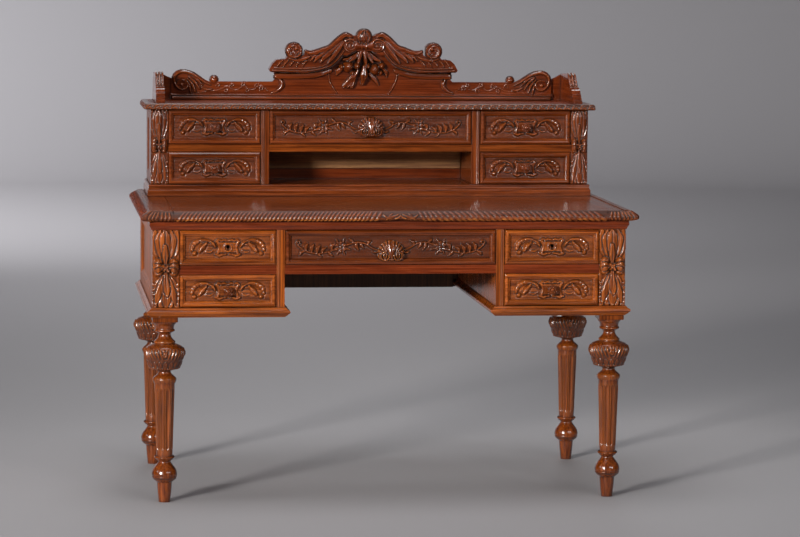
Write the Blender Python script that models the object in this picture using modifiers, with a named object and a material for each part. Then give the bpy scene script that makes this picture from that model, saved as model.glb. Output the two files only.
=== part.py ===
"""Oak writing desk with a drawer hutch and a carved gallery.

Metres, +Z up. X runs along the desk, the front faces -Y, the floor is Z = 0 and the
origin lies on the floor under the middle of the whole desk.
"""
import math

import bmesh
import bpy
from mathutils import Matrix, Vector

# Fits
seat_gap = 0.0003               # between pieces that are glued or rest on each other
drawer_clearance = 0.001        # round a drawer front in its opening
slide_clearance = 0.0005        # between the writing slide and the fixed top ends
slide_relief = 0.0008           # how far the slide is planed down where it runs under the hutch
overrun = 0.004                 # how far a cutter runs past what it cuts
merge_distance = 0.00005
smooth_angle = 40               # edges sharper than this, in degrees, stay crisp
flat_angle = 1                  # faces that turn by less than this, in degrees, are one

# Drawer case
case_width = 1.266
case_depth = 0.720
leg_height = 0.497
pedestal_board = 0.026
lower_opening = 0.088
middle_board = 0.024
upper_opening = 0.094
frieze_height = 0.026
frieze_depth = 0.030
frieze_projection = 0.008
kneehole_width = 0.565
kneehole_side = 0.0225
housing_depth = 0.350           # how far a kneehole side is slotted for the middle board
post_width = 0.0708
post_depth = 0.045
side_thickness = 0.022
back_thickness = 0.012
back_inset = 0.002
base_projection = 0.0145
guide_width = 0.012
guide_height = 0.012

# Legs
leg_setback = 0.0345            # axis to the case's side and front
rear_leg_setback = 0.048
leg_radius = 0.0545
abacus_width = 0.067
abacus_height = 0.013
dowel_radius = 0.014
dowel_length = 0.018
flute_depth = 0.0022
nulling_depth = 0.0026

# Sunk panels of the case's and the hutch's sides
panel_stile = 0.062
panel_rail = 0.030
panel_sink = 0.007
panel_moulding = 0.012

# Writing top
top_thickness = 0.025
top_edge_front = 0.016          # case front to the edge of the flat writing surface
top_nosing = 0.012              # moulded edge in front of that
top_side_flat = 0.0075          # case side to the edge of the flat surface
top_side_nosing = 0.022
top_rear_overhang = 0.012
strip_width = 0.015
strip_height = 0.002
slide_setback = 0.056           # case side to the writing slide's side
slide_rear = 0.300              # its rear edge, from the middle of the case
slide_travel = 0.250
tongue_width = 0.009
tongue_height = 0.008
groove_stop = 0.033             # groove end to the outermost front edge
finger_notch_width = 0.052
finger_notch_depth = 0.006
finger_notch_offset = 0.022

# Drawers
front_thickness = 0.020
frame_height = 0.006            # bead of a drawer's frame above the case's face
field_sink = 0.0045             # sunk field behind the case's face
frame_width = 0.017
box_wall = 0.009
box_floor = 0.006
box_headroom = 0.012
base_drawer_depth = 0.640
hutch_drawer_depth = 0.205
knob_radius = 0.0138
knob_height = 0.026
spigot_radius = 0.0045
knob_steps = 16
shell_width = 0.072
shell_height = 0.055
shell_lift = 0.0085             # its lower rim over the opening's lower edge
hutch_shell_height = 0.050
hutch_shell_lift = 0.0195
shell_depth = 0.027
shell_wall = 0.006
shell_rib = 0.0022
shell_ribs = 7
keyhole_radius = 0.0032
keyhole_slot = 0.0028
keyhole_length = 0.010
lock_width = 0.052
lock_height = 0.058
lock_depth = 0.010

# Hutch
hutch_setback = 0.018           # case side to the hutch's side
hutch_depth = 0.240
hutch_rear = 0.005              # how far it stands behind the case's rear
plinth_height = 0.033
plinth_projection = 0.009
hutch_lower_opening = 0.0915
shelf_thickness = 0.0205
hutch_upper_opening = 0.097
hutch_post_width = 0.048
hutch_post_depth = 0.035
hutch_side = 0.018
hutch_divider = 0.023
niche_width = 0.570
hutch_housing = 0.113
cornice_thickness = 0.0165
cornice_projection = 0.018
cornice_rear = 0.002

# Gallery
crest_height = 0.2026
crest_thickness = 0.020
crest_setback = 0.005           # rear of the crest board to the hutch's rear
wing_width = 0.028              # flat stretch of the crest board outside each hump
wing_sink = 0.008               # how far that stretch lies back
crest_ball = 0.0212
pediment_thickness = 0.024
inner_volute = 0.0213
outer_volute = 0.0235
hump_volute = 0.0150
volute_relief = 0.006
volute_margin = 0.0015          # scroll's edge to the raised boss in it
finial_ball = 0.0102
end_width = 0.026
end_taper = 0.003               # how far its outer face leans inwards
end_setback = 0.015             # outer face to the hutch's side
end_height = 0.0825
end_front = 0.004               # front of an end to the hutch's front

# Levels and planes that follow
case_x = case_width / 2
case_y = (top_edge_front + top_nosing - top_rear_overhang) / 2
front_y = case_y - case_depth / 2
rear_y = case_y + case_depth / 2
slide_rear_y = case_y + slide_rear
post_x = case_x - post_width
side_x = case_x - side_thickness
knee_x = kneehole_width / 2
knee_side_x = knee_x + kneehole_side
post_back_y = front_y + post_depth
back_rear_y = rear_y - back_inset
back_y = back_rear_y - back_thickness
housing_y = front_y + housing_depth
board_z = leg_height
lower_z = board_z + pedestal_board
middle_z = lower_z + lower_opening
upper_z = middle_z + middle_board
frieze_z = upper_z + upper_opening
top_z = frieze_z + frieze_height
surface_z = top_z + top_thickness
slide_x = case_x - slide_setback
hutch_x = case_x - hutch_setback
hutch_rear_y = rear_y + hutch_rear
hutch_y = hutch_rear_y - hutch_depth
hutch_post_x = hutch_x - hutch_post_width
hutch_post_y = hutch_y + hutch_post_depth
hutch_side_x = hutch_x - hutch_side
hutch_back_y = hutch_rear_y - back_inset - back_thickness
niche_x = niche_width / 2
niche_side_x = niche_x + hutch_divider
plinth_z = surface_z
cabinet_z = plinth_z + plinth_height
shelf_z = cabinet_z + hutch_lower_opening
shelf_top_z = shelf_z + shelf_thickness
cornice_z = shelf_top_z + hutch_upper_opening
gallery_z = cornice_z + cornice_thickness
crest_rear_y = hutch_rear_y - crest_setback
crest_y = crest_rear_y - crest_thickness
end_outer_x = hutch_x - end_setback
end_inner_x = end_outer_x - end_width
crest_x = end_inner_x - wing_width
wing_x = end_inner_x - seat_gap

# Profiles, as (height share, projection share) from the lower edge up
base_profile_share = [(0, .12), (.10, .28), (.25, .62), (.36, .72), (.38, .86), (.47, .98),
                      (.55, 1), (.64, .97), (.72, .86), (.73, .70), (.85, .42), (1, .25)]
frieze_profile_share = [(0, .15), (.06, .40), (.22, .52), (.34, .74), (.44, .92), (.46, 1), (1, 1)]
nosing_profile_share = [(0, .34), (.10, .84), (.20, 1), (.42, 1), (.60, .80), (.78, .48),
                        (.92, .18), (1, 0)]
plinth_profile_share = [(0, 1), (.52, 1), (.56, .84), (.70, .62), (.82, .56), (.86, .74), (.95, .70),
                        (1, .40)]
cornice_profile_share = [(0, .80), (.12, 1), (.30, .96), (.55, .80), (.78, .50), (.92, .30), (1, .28)]
# A drawer's frame, as (share of the frame's width inwards, share of its height forwards)
frame_profile_share = [(0, 0), (.12, .62), (.32, 1), (.54, .92), (.62, .42), (.80, .20), (.94, -.40)]
# A sunk side panel, as (share of the moulding's width inwards, share of the sink)
sunk_profile_share = [(0, 0), (.15, .35), (.45, .45), (.70, .85), (1, 1)]

# The leg below its abacus, as (radius share, height share) from the top down
leg_profile_share = [
    (.578, .970), (.530, .962), (.450, .952), (.390, .933), (.429, .920), (.356, .905), (.354, .896),
    (.404, .885), (.500, .871), (.550, .857), (.606, .848), (.853, .830), (.972, .818), (1, .807),
    (.982, .797), (.862, .769), (.831, .751), (.807, .730), (.771, .719), (.477, .707), (.385, .700),
    (.378, .692), (.523, .672), (.615, .657), (.598, .647), (.545, .640), (.519, .620), (.516, .610),
    (.512, .598), (.399, .276), (.395, .264), (.391, .249), (.404, .243), (.483, .233), (.367, .222),
    (.336, .212), (.394, .192), (.477, .176), (.606, .143), (.618, .132), (.602, .120), (.468, .104),
    (.395, .093), (.312, 0)]
leg_flutes_share = (.604, .270)     # the fluted stretch, between these heights
leg_nulls_share = (.812, .735)      # the nulled bulb, between these heights
leg_steps = 24

# Steps in the curves of the smaller pieces
volute_steps = 24
scroll_steps = 10
ball_steps = 6
notch_steps = 48
cup_rows = 16

# A knob's profile, as (radius share, length share) from its crown inwards
knob_profile_share = [(0, 1), (.42, .985), (.48, .93), (.78, .90), (.97, .76), (1, .64), (.88, .55),
                      (.50, .48), (.42, .40), (.46, .20), (.62, .08), (.64, 0)]

# The crest's outline from its middle outwards, as (share of half its width, share of its height)
crest_shoulder_share = [(.052, .902), (.066, .932), (.092, .947), (.127, .900), (.152, .846),
                        (.182, .770), (.219, .734), (.270, .693), (.307, .700), (.313, .640),
                        (.330, .600)]
crest_cornice_share = [(.410, .575), (.456, .565), (.478, .510), (.495, .425), (.470, .392),
                       (.456, .345), (.462, .290), (.474, .254)]
crest_side_share = [(.762, .254)]
crest_hump_share = [(.812, .262), (.840, .300), (.875, .362), (.912, .408), (.945, .420),
                    (.975, .398), (.993, .345), (1, .300)]
# The top of a wing, as (share of its width outwards, share of the crest's height)
wing_share = [(.40, .320), (1, .365), (1, 0)]
# Centres on the crest: the two volutes of each scroll, a hump's volute and its finial
inner_volute_share = (.071, .776)
outer_volute_share = (.366, .693)
hump_volute_share = (.947, .210)
finial_share = (.779, .284)
# The lower edge of the pediment's moulding, from its outer end inwards
pediment_sweep_share = [(.490, .400), (.300, .385), (.220, .425), (.165, .520), (.130, .640),
                        (.088, .628), (.050, .690), (0, .700)]
# A gallery end seen from the side, as (share of its depth, share of its height)
end_side_share = [(0, 0), (0, .10), (.045, .12), (.045, .20), (.080, .23), (.080, .31), (.125, .37),
                  (.135, .45), (.195, .50), (.195, .53), (.285, .56), (.330, .70), (.385, .85),
                  (.430, .94), (.490, 1), (1, .93), (1, 0)]

# Colours (linear) and roughness of the waxed oak
oak_red = (0.150, 0.040, 0.013)
oak_orange = (0.260, 0.080, 0.020)
oak_brown = (0.105, 0.034, 0.014)
oak_pale = (0.210, 0.110, 0.050)
brass = (0.420, 0.270, 0.090)
waxed = 0.38
raw = 0.65


# Scene and collections
def clear_scene():
    for obj in list(bpy.data.objects):
        bpy.data.objects.remove(obj, do_unlink=True)


def collection(name):
    made = bpy.data.collections.new(name)
    bpy.context.scene.collection.children.link(made)
    return made


clear_scene()
parts = collection("writing_desk")
tools = collection("cutters_and_joined_pieces")


def material(name, colour, roughness, metallic=0.0):
    made = bpy.data.materials.new(name)
    made.use_nodes = True
    shader = made.node_tree.nodes["Principled BSDF"]
    shader.inputs["Base Color"].default_value = (*colour, 1.0)
    shader.inputs["Roughness"].default_value = roughness
    shader.inputs["Metallic"].default_value = metallic
    return made


def add_object(name, mesh, colour=oak_red, roughness=waxed, metallic=0.0, smooth=False):
    """A named piece of the desk with a finish of its own."""
    obj = bpy.data.objects.new(name, mesh)
    parts.objects.link(obj)
    mesh.materials.clear()
    mesh.materials.append(material(name, colour, roughness, metallic))
    if smooth:
        mesh.shade_smooth()
        mesh.set_sharp_from_angle(angle=math.radians(smooth_angle))
    return obj


def as_tool(obj):
    """Turns a piece into a cutter, or into a piece that is joined to another."""
    parts.objects.unlink(obj)
    tools.objects.link(obj)
    obj.hide_render = True
    obj.display_type = 'WIRE'
    return obj


def combine(obj, tool, operation):
    step = obj.modifiers.new(tool.name, 'BOOLEAN')
    step.operation = operation
    step.solver = 'EXACT'
    step.object = as_tool(tool)


def cut(obj, tool):
    combine(obj, tool, 'DIFFERENCE')


def join(obj, tool):
    combine(obj, tool, 'UNION')


def finish_mesh(name, bm):
    bmesh.ops.recalc_face_normals(bm, faces=bm.faces)
    mesh = bpy.data.meshes.new(name)
    bm.to_mesh(mesh)
    bm.free()
    return mesh


# Shapes
def box(name, xs, ys, zs, gap=seat_gap, **finish):
    """A board between two values of x, y and z, short of each by half the seat gap."""
    low = Vector((min(xs), min(ys), min(zs))) + Vector((gap, gap, gap)) / 2
    high = Vector((max(xs), max(ys), max(zs))) - Vector((gap, gap, gap)) / 2
    bm = bmesh.new()
    bmesh.ops.create_cube(bm, size=1.0)
    bmesh.ops.scale(bm, vec=high - low, verts=bm.verts)
    bmesh.ops.translate(bm, vec=(high + low) / 2, verts=bm.verts)
    return add_object(name, finish_mesh(name, bm), **finish)


def cylinder(name, radius, start, end, steps=16, **finish):
    """A round bar between two points."""
    axis = Vector(end) - Vector(start)
    bm = bmesh.new()
    bmesh.ops.create_cone(bm, cap_ends=True, segments=steps, radius1=radius, radius2=radius,
                          depth=axis.length)
    bm.transform(axis.to_track_quat('Z', 'Y').to_matrix().to_4x4())
    bmesh.ops.translate(bm, vec=(Vector(start) + Vector(end)) / 2, verts=bm.verts)
    return add_object(name, finish_mesh(name, bm), **finish)


def loft(name, rings, **finish):
    """A closed body over rings of as many corners each, from one end to the other."""
    bm = bmesh.new()
    loops = [[bm.verts.new(corner) for corner in ring] for ring in rings]
    for near, far in zip(loops, loops[1:]):
        for i in range(len(near)):
            j = (i + 1) % len(near)
            bm.faces.new((near[i], near[j], far[j], far[i]))
    bm.faces.new(loops[0])
    bm.faces.new(loops[-1])
    return add_object(name, finish_mesh(name, bm), **finish)


def plan_ring(xs, ys, z):
    return [(xs[0], ys[0], z), (xs[1], ys[0], z), (xs[1], ys[1], z), (xs[0], ys[1], z)]


def front_ring(xs, zs, y):
    return [(xs[0], y, zs[0]), (xs[1], y, zs[0]), (xs[1], y, zs[1]), (xs[0], y, zs[1])]


def side_ring(ys, zs, x):
    return [(x, ys[0], zs[0]), (x, ys[1], zs[0]), (x, ys[1], zs[1]), (x, ys[0], zs[1])]


def moulded_slab(name, xs, ys, zs, profile, left=0.0, right=0.0, front=0.0, **finish):
    """A board whose named sides carry a moulding that projects by the given sizes."""
    half = seat_gap / 2
    low, high = min(zs) + half, max(zs) - half
    rings = []
    for height, out in profile:
        rings.append(plan_ring((min(xs) - out * left + half, max(xs) + out * right - half),
                               (min(ys) - out * front + half, max(ys) - half),
                               low + (high - low) * height))
    return loft(name, rings, **finish)


def prism(name, outline, axis, start, end, **finish):
    """A flat outline, extruded along X, Y or Z between two places."""
    curve = bpy.data.curves.new(name, 'CURVE')
    curve.dimensions = '2D'
    curve.fill_mode = 'BOTH'
    spline = curve.splines.new('POLY')
    spline.points.add(len(outline) - 1)
    for point, (u, v) in zip(spline.points, outline):
        point.co = (u, v, 0.0, 1.0)
    spline.use_cyclic_u = True
    low = min(start, end) + seat_gap / 2
    high = max(start, end) - seat_gap / 2
    curve.extrude = (high - low) / 2
    guide = bpy.data.objects.new(name, curve)
    bpy.context.scene.collection.objects.link(guide)
    mesh = bpy.data.meshes.new_from_object(
        guide.evaluated_get(bpy.context.evaluated_depsgraph_get()))
    bpy.data.objects.remove(guide, do_unlink=True)
    turns = {'X': ((0, 0, 1), (1, 0, 0), (0, 1, 0)),
             'Y': ((1, 0, 0), (0, 0, -1), (0, 1, 0)),
             'Z': ((1, 0, 0), (0, 1, 0), (0, 0, 1))}
    bm = bmesh.new()
    bm.from_mesh(mesh)
    bm.transform(Matrix(turns[axis]).to_4x4())
    middle = Vector([(low + high) / 2 if letter == axis else 0.0 for letter in 'XYZ'])
    bmesh.ops.translate(bm, vec=middle, verts=bm.verts)
    bmesh.ops.remove_doubles(bm, verts=bm.verts, dist=merge_distance)
    bmesh.ops.dissolve_degenerate(bm, edges=bm.edges, dist=merge_distance)
    bmesh.ops.dissolve_limit(bm, angle_limit=math.radians(flat_angle), verts=bm.verts,
                             edges=bm.edges)
    return add_object(name, finish_mesh(name, bm), **finish)


def inset_outline(outline):
    """The outline drawn in by half the seat gap, its corners kept mitred."""
    area = sum(a[0] * b[1] - b[0] * a[1] for a, b in zip(outline, outline[1:] + outline[:1]))
    turn = 1.0 if area > 0 else -1.0
    inner = []
    for i, point in enumerate(outline):
        before = Vector(point) - Vector(outline[i - 1])
        after = Vector(outline[(i + 1) % len(outline)]) - Vector(point)
        normals = [Vector((-edge.y, edge.x)).normalized() * turn for edge in (before, after)]
        mitre = (normals[0] + normals[1]) / (1 + normals[0].dot(normals[1]))
        inner.append(tuple(Vector(point) + mitre * seat_gap / 2))
    return inner


def arc(centre, radius, start, end, steps):
    """Points on an arc between two angles in degrees."""
    points = []
    for i in range(steps + 1):
        angle = math.radians(start + (end - start) * i / steps)
        points.append((centre[0] + radius * math.cos(angle), centre[1] + radius * math.sin(angle)))
    return points


def turned_mesh(name, profile, steps):
    """A profile of (radius, height), from its top down, turned about Z."""
    mesh = bpy.data.meshes.new(name)
    mesh.from_pydata([(r, 0.0, h) for r, h in profile],
                     [(i, i + 1) for i in range(len(profile) - 1)], [])
    blank = bpy.data.objects.new(name, mesh)
    bpy.context.scene.collection.objects.link(blank)
    screw = blank.modifiers.new("turning", 'SCREW')
    screw.axis = 'Z'
    screw.steps = steps
    screw.render_steps = steps
    screw.use_merge_vertices = True
    screw.merge_threshold = merge_distance
    turned = bpy.data.meshes.new_from_object(
        blank.evaluated_get(bpy.context.evaluated_depsgraph_get()))
    bpy.data.objects.remove(blank, do_unlink=True)
    return turned


def sides():
    """Left and right, each with its sign along X."""
    return (("left", -1), ("right", 1))


def slide_group(name, x, y, z):
    """The empty on which a drawer or the writing slide runs."""
    empty = bpy.data.objects.new(name, None)
    parts.objects.link(empty)
    empty.location = (x, y, z)
    return empty


def attach(obj, empty):
    """Hangs a piece on an empty and leaves it where it is."""
    obj.data.transform(Matrix.Translation(-empty.location))
    obj.parent = empty


# Stand
def leg(name, x, y):
    height = leg_height - seat_gap
    profile = [(0.0, height + dowel_length), (dowel_radius, height + dowel_length),
               (dowel_radius, height - abacus_height / 2)]
    profile += [(leg_radius * r, leg_height * h) for r, h in leg_profile_share]
    profile.append((0.0, 0.0))
    mesh = turned_mesh(name, profile, leg_steps)
    for vertex in mesh.vertices:
        radius = Vector(vertex.co.xy).length
        if radius < dowel_radius:
            continue
        share = vertex.co.z / leg_height
        groove = round(math.atan2(vertex.co.y, vertex.co.x) / math.tau * leg_steps) % 2
        depth = 0.0
        if leg_flutes_share[1] < share < leg_flutes_share[0]:
            depth = flute_depth
        if leg_nulls_share[1] < share < leg_nulls_share[0]:
            depth = nulling_depth
        if groove and depth:
            vertex.co.xy *= (radius - depth) / radius
    mesh.transform(Matrix.Translation((x, y, 0.0)))
    obj = add_object(name, mesh, colour=oak_red, smooth=True)
    half = abacus_width / 2
    join(obj, box(name + "_abacus", (x - half, x + half), (y - half, y + half),
                  (height - abacus_height, height + seat_gap / 2)))
    return obj


def leg_places():
    for side, sign in sides():
        x = sign * (case_x - leg_setback)
        yield "leg_front_" + side, x, front_y + leg_setback
        yield "leg_rear_" + side, x, rear_y - rear_leg_setback


def stand():
    for name, x, y in leg_places():
        leg(name, x, y)


# Drawer case
def ordered(a, b):
    return (min(a, b), max(a, b))


def drawer_guide(name, x, sign, ys, z):
    """A strip beside a drawer, glued on the board that it runs on."""
    return box(name, ordered(x * sign, (x + guide_width) * sign), ys,
               (z - guide_height / 2, z + guide_height))


def pedestal_board_piece(side, sign):
    """The floor of a pedestal, moulded on three sides."""
    name = "pedestal_base_" + side
    left = base_projection
    obj = moulded_slab(name, ordered(sign * knee_x, sign * case_x), (front_y, rear_y),
                       (board_z, lower_z), base_profile_share, left=left, right=left,
                       front=base_projection, colour=oak_orange)
    join(obj, drawer_guide(name + "_guide", post_x, sign, (post_back_y + overrun, back_y - overrun),
                           lower_z))
    for leg_name, x, y in leg_places():
        if x * sign > 0:
            cut(obj, cylinder(leg_name + "_hole", dowel_radius + seat_gap,
                              (x, y, board_z - overrun),
                              (x, y, board_z + dowel_length + seat_gap), leg_steps))
    return obj


def sunk_panel(name, sign, x_out, x_in, ys, zs, **finish):
    """A side of the case, framed round a sunk panel on its outer face."""
    half = seat_gap / 2
    ys = (ys[0] + half, ys[1] - half)
    zs = (zs[0] + half, zs[1] - half)
    rings = [side_ring(ys, zs, sign * (x_in + half)), side_ring(ys, zs, sign * (x_out - half))]
    for inwards, sink in sunk_profile_share:
        edge = panel_moulding * inwards
        rings.append(side_ring((ys[0] + panel_stile + edge, ys[1] - panel_stile - edge),
                               (zs[0] + panel_rail + edge, zs[1] - panel_rail - edge),
                               sign * (x_out - half - panel_sink * sink)))
    return loft(name, rings, **finish)


def kneehole_side_piece(side, sign):
    """A pedestal's inner side, notched for the frieze and slotted for the middle board."""
    outline = [(front_y, lower_z), (back_y, lower_z), (back_y, top_z),
               (front_y + frieze_depth, top_z), (front_y + frieze_depth, frieze_z),
               (front_y, frieze_z), (front_y, upper_z), (housing_y, upper_z),
               (housing_y, middle_z), (front_y, middle_z)]
    return prism("kneehole_side_" + side, inset_outline(outline), 'X', sign * knee_x,
                 sign * knee_side_x, colour=oak_orange)


def housed_board(name, reach, ys, zs, post, post_rear, slot_xs, slot_y, **finish):
    """A board between the sides, notched round the posts and slotted from the rear."""
    obj = box(name, (-reach, reach), ys, zs, **finish)
    above = (zs[0] - overrun, zs[1] + overrun)
    for side, sign in sides():
        cut(obj, box("_".join((name, "notch", side)),
                     ordered(sign * post, sign * (reach + overrun)),
                     (ys[0] - overrun, post_rear), above, gap=-seat_gap))
        cut(obj, box("_".join((name, "slot", side)), ordered(sign * slot_xs[0], sign * slot_xs[1]),
                     (slot_y, ys[1] + overrun), above, gap=-seat_gap))
        join(obj, drawer_guide("_".join((name, "guide", side)), post, sign,
                               (post_rear + overrun, ys[1] - overrun), zs[1]))
    return obj


def middle_board_piece():
    """Cross rail, drawer floor and kneehole ceiling in one, slotted for the kneehole sides."""
    return housed_board("middle_board", side_x, (front_y, back_y), (middle_z, upper_z), post_x,
                        post_back_y, (knee_x, knee_side_x), housing_y)


def back_panel_piece():
    """The back, full height in the kneehole and down to the pedestal floors beside it."""
    low_x = knee_x - base_projection
    half = [(0, board_z + back_inset), (low_x, board_z + back_inset), (low_x, lower_z),
            (side_x, lower_z), (side_x, top_z), (0, top_z)]
    outline = half[1:-1] + [(-x, z) for x, z in reversed(half[1:-1])]
    return prism("back_panel", inset_outline(outline), 'Y', back_y, back_rear_y,
                 colour=oak_brown, roughness=raw)


def frieze_piece():
    """The moulded rail under the top, returned along both sides."""
    obj = moulded_slab("frieze_rail", (-case_x, case_x), (front_y, rear_y), (frieze_z, top_z),
                       frieze_profile_share, left=frieze_projection, right=frieze_projection,
                       front=frieze_projection)
    cut(obj, box("frieze_inside", (-side_x, side_x), (front_y + frieze_depth, rear_y + overrun),
                 (frieze_z - overrun, top_z + overrun), gap=-seat_gap))
    return obj


def drawer_case():
    for side, sign in sides():
        box("carved_post_front_" + side, ordered(sign * post_x, sign * case_x),
            (front_y, post_back_y), (lower_z, frieze_z), colour=oak_orange)
        sunk_panel("side_panel_" + side, sign, case_x, side_x, (post_back_y, rear_y),
                   (lower_z, frieze_z))
        kneehole_side_piece(side, sign)
        pedestal_board_piece(side, sign)
    middle_board_piece()
    frieze_piece()
    back_panel_piece()


# Writing top
def top_end_piece(side, sign):
    """A fixed end of the top: moulded outside, grooved inside for the slide's tongue."""
    name = "top_end_" + side
    flat_x = case_x + top_side_flat
    flat_y = front_y - top_edge_front
    rear = rear_y + top_rear_overhang
    left, right = (top_side_nosing, 0.0) if sign < 0 else (0.0, top_side_nosing)
    obj = moulded_slab(name, ordered(sign * slide_x, sign * flat_x), (flat_y, rear),
                       (top_z, surface_z), nosing_profile_share, left=left, right=right,
                       front=top_nosing)
    join(obj, box(name + "_strip", ordered(sign * (flat_x - strip_width), sign * flat_x),
                  (flat_y + seat_gap, rear),
                  (surface_z - strip_height, surface_z + strip_height)))
    middle = (top_z + surface_z) / 2
    groove = tongue_height / 2 + slide_clearance
    cut(obj, box(name + "_groove",
                 ordered(sign * (slide_x - overrun), sign * (slide_x + tongue_width + slide_clearance)),
                 (groove_front_y(), rear + overrun), (middle - groove, middle + groove)))
    return obj


def groove_front_y():
    return front_y - top_edge_front - top_nosing + groove_stop


def slide_piece():
    """The pull-out writing surface, its side tongues and the finger notch in its edge."""
    group = slide_group("writing_slide_run", 0.0, front_y, (top_z + surface_z) / 2)
    flat_y = front_y - top_edge_front
    reach = slide_x - slide_clearance
    obj = moulded_slab("writing_slide", (-reach, reach), (flat_y, slide_rear_y), (top_z, surface_z),
                       nosing_profile_share, front=top_nosing, colour=oak_orange)
    middle = (top_z + surface_z) / 2
    tongue_front = groove_front_y() + slide_travel + slide_clearance
    for side, sign in sides():
        join(obj, box("writing_slide_tongue_" + side,
                      ordered(sign * (slide_x - tongue_width), sign * (slide_x + tongue_width)),
                      (tongue_front, slide_rear_y),
                      (middle - tongue_height / 2, middle + tongue_height / 2)))
    edge = flat_y - top_nosing
    bow = finger_notch_width ** 2 / (8 * finger_notch_depth) + finger_notch_depth / 2
    notch_z = top_z + finger_notch_depth - bow
    cut(obj, cylinder("finger_notch", bow, (finger_notch_offset, edge - overrun, notch_z),
                      (finger_notch_offset, edge + top_nosing, notch_z), notch_steps))
    cut(obj, box("slide_relief", (-case_x, case_x),
                 (hutch_y - plinth_projection, slide_rear_y + overrun),
                 (surface_z - slide_relief, surface_z + overrun)))
    attach(obj, group)
    return obj


def writing_top():
    for side, sign in sides():
        top_end_piece(side, sign)
    slide_piece()
    box("top_rear_rail", (-slide_x, slide_x), (slide_rear_y, rear_y + top_rear_overhang),
        (top_z, surface_z))


# Drawers
def frame_rings(xs, zs, face_y):
    """Rings of a drawer front: outer edge, raised frame and sunk field."""
    rings = []
    for inwards, forwards in frame_profile_share:
        edge = frame_width * inwards
        rings.append(front_ring((xs[0] + edge, xs[1] - edge), (zs[0] + edge, zs[1] - edge),
                                face_y - frame_height * forwards))
    rings.append(front_ring((xs[0] + frame_width, xs[1] - frame_width),
                            (zs[0] + frame_width, zs[1] - frame_width), face_y + field_sink))
    return rings


def knob(name, x, z, face_y, group):
    """A turned knob whose spigot passes through the drawer front."""
    field = face_y + field_sink - seat_gap
    profile = [(knob_radius * r, knob_height * h) for r, h in knob_profile_share]
    end = field_sink - front_thickness
    profile += [(spigot_radius, 0.0), (spigot_radius, end), (0.0, end)]
    mesh = turned_mesh(name, profile, knob_steps)
    mesh.transform(Matrix.Rotation(math.radians(90), 4, 'X'))
    mesh.transform(Matrix.Translation((x, field, z)))
    attach(add_object(name, mesh, smooth=True), group)


def knob_hole(name, x, z, face_y):
    return cylinder(name + "_hole", spigot_radius + seat_gap,
                    (x, face_y - frame_height - overrun, z),
                    (x, face_y + front_thickness + overrun, z), knob_steps)


def cup(name, x, y, z, width, height, depth, rib=0.0):
    """An ellipsoid round a point, ribbed like a scallop from its lower middle outwards."""
    bm = bmesh.new()
    bmesh.ops.create_uvsphere(bm, u_segments=8 * shell_ribs, v_segments=cup_rows, radius=1.0)
    bm.transform(Matrix.Rotation(math.radians(90), 4, 'X'))
    for vertex in bm.verts:
        angle = math.atan2(vertex.co.x, vertex.co.z)
        rim = Vector(vertex.co.xz).length
        swell = rib * rim * math.cos(angle * 2 * shell_ribs)
        vertex.co = (vertex.co.x * (width / 2 + swell), vertex.co.y * (depth + swell),
                     vertex.co.z * (height + swell))
    bmesh.ops.translate(bm, vec=(x, y, z), verts=bm.verts)
    return add_object(name, finish_mesh(name, bm), smooth=True)


def shell(name, x, low, height, face_y, frame_z, group):
    """A ribbed shell pull: half a dome, hollow underneath for the fingers."""
    field = face_y + field_sink - seat_gap
    obj = cup(name, x, field, low, shell_width, height, shell_depth, rib=shell_rib)
    reach = (x - shell_width, x + shell_width)
    cut(obj, box(name + "_back", reach, (field, field + shell_width),
                 (low - height - overrun, low + height + overrun), gap=0.0))
    cut(obj, box(name + "_mouth", reach, (field - shell_width, field + overrun),
                 (low - height - overrun, low), gap=0.0))
    cut(obj, cup(name + "_hollow", x, field - shell_wall / 2, low, shell_width - 2 * shell_wall,
                 height - shell_wall, shell_depth - shell_wall))
    if low < frame_z:
        cut(obj, box(name + "_over_frame", reach, (face_y - frame_height - seat_gap, field + overrun),
                     (low - overrun, frame_z + seat_gap), gap=0.0))
    attach(obj, group)


def base_drawer(row, side, xs, zs):
    """One of the case's drawers: moulded front, box and whatever opens it."""
    name = "_".join(word for word in ("drawer", row, side) if word)
    xs = (xs[0] + drawer_clearance, xs[1] - drawer_clearance)
    floor = zs[0] + seat_gap
    zs = (zs[0] + drawer_clearance, zs[1] - drawer_clearance)
    group = slide_group(name + "_run", (xs[0] + xs[1]) / 2, front_y, (zs[0] + zs[1]) / 2)
    inner_y = front_y + front_thickness
    front = loft(name + "_front", [front_ring(xs, zs, inner_y)] + frame_rings(xs, zs, front_y),
                 colour=oak_orange)
    rear = front_y + base_drawer_depth
    body = box(name + "_box", xs, (inner_y, rear), (floor, zs[1] - box_headroom),
               colour=oak_pale, roughness=raw)
    cut(body, box(name + "_inside", (xs[0] + box_wall, xs[1] - box_wall),
                  (inner_y - overrun, rear - box_wall), (floor + box_floor, zs[1] + overrun)))
    x, z = group.location.x, group.location.z
    if row == "lower":
        cut(front, knob_hole("knob_lower_" + side, x, z, front_y))
        knob("knob_lower_" + side, x, z, front_y, group)
    if row == "upper":
        lock(front, "lock_upper_" + side, x, z, zs[1], group)
    if row == "centre":
        shell("shell_pull_centre", x, upper_z + shell_lift, shell_height, front_y,
              zs[0] + frame_width, group)
    attach(front, group)
    attach(body, group)


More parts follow.
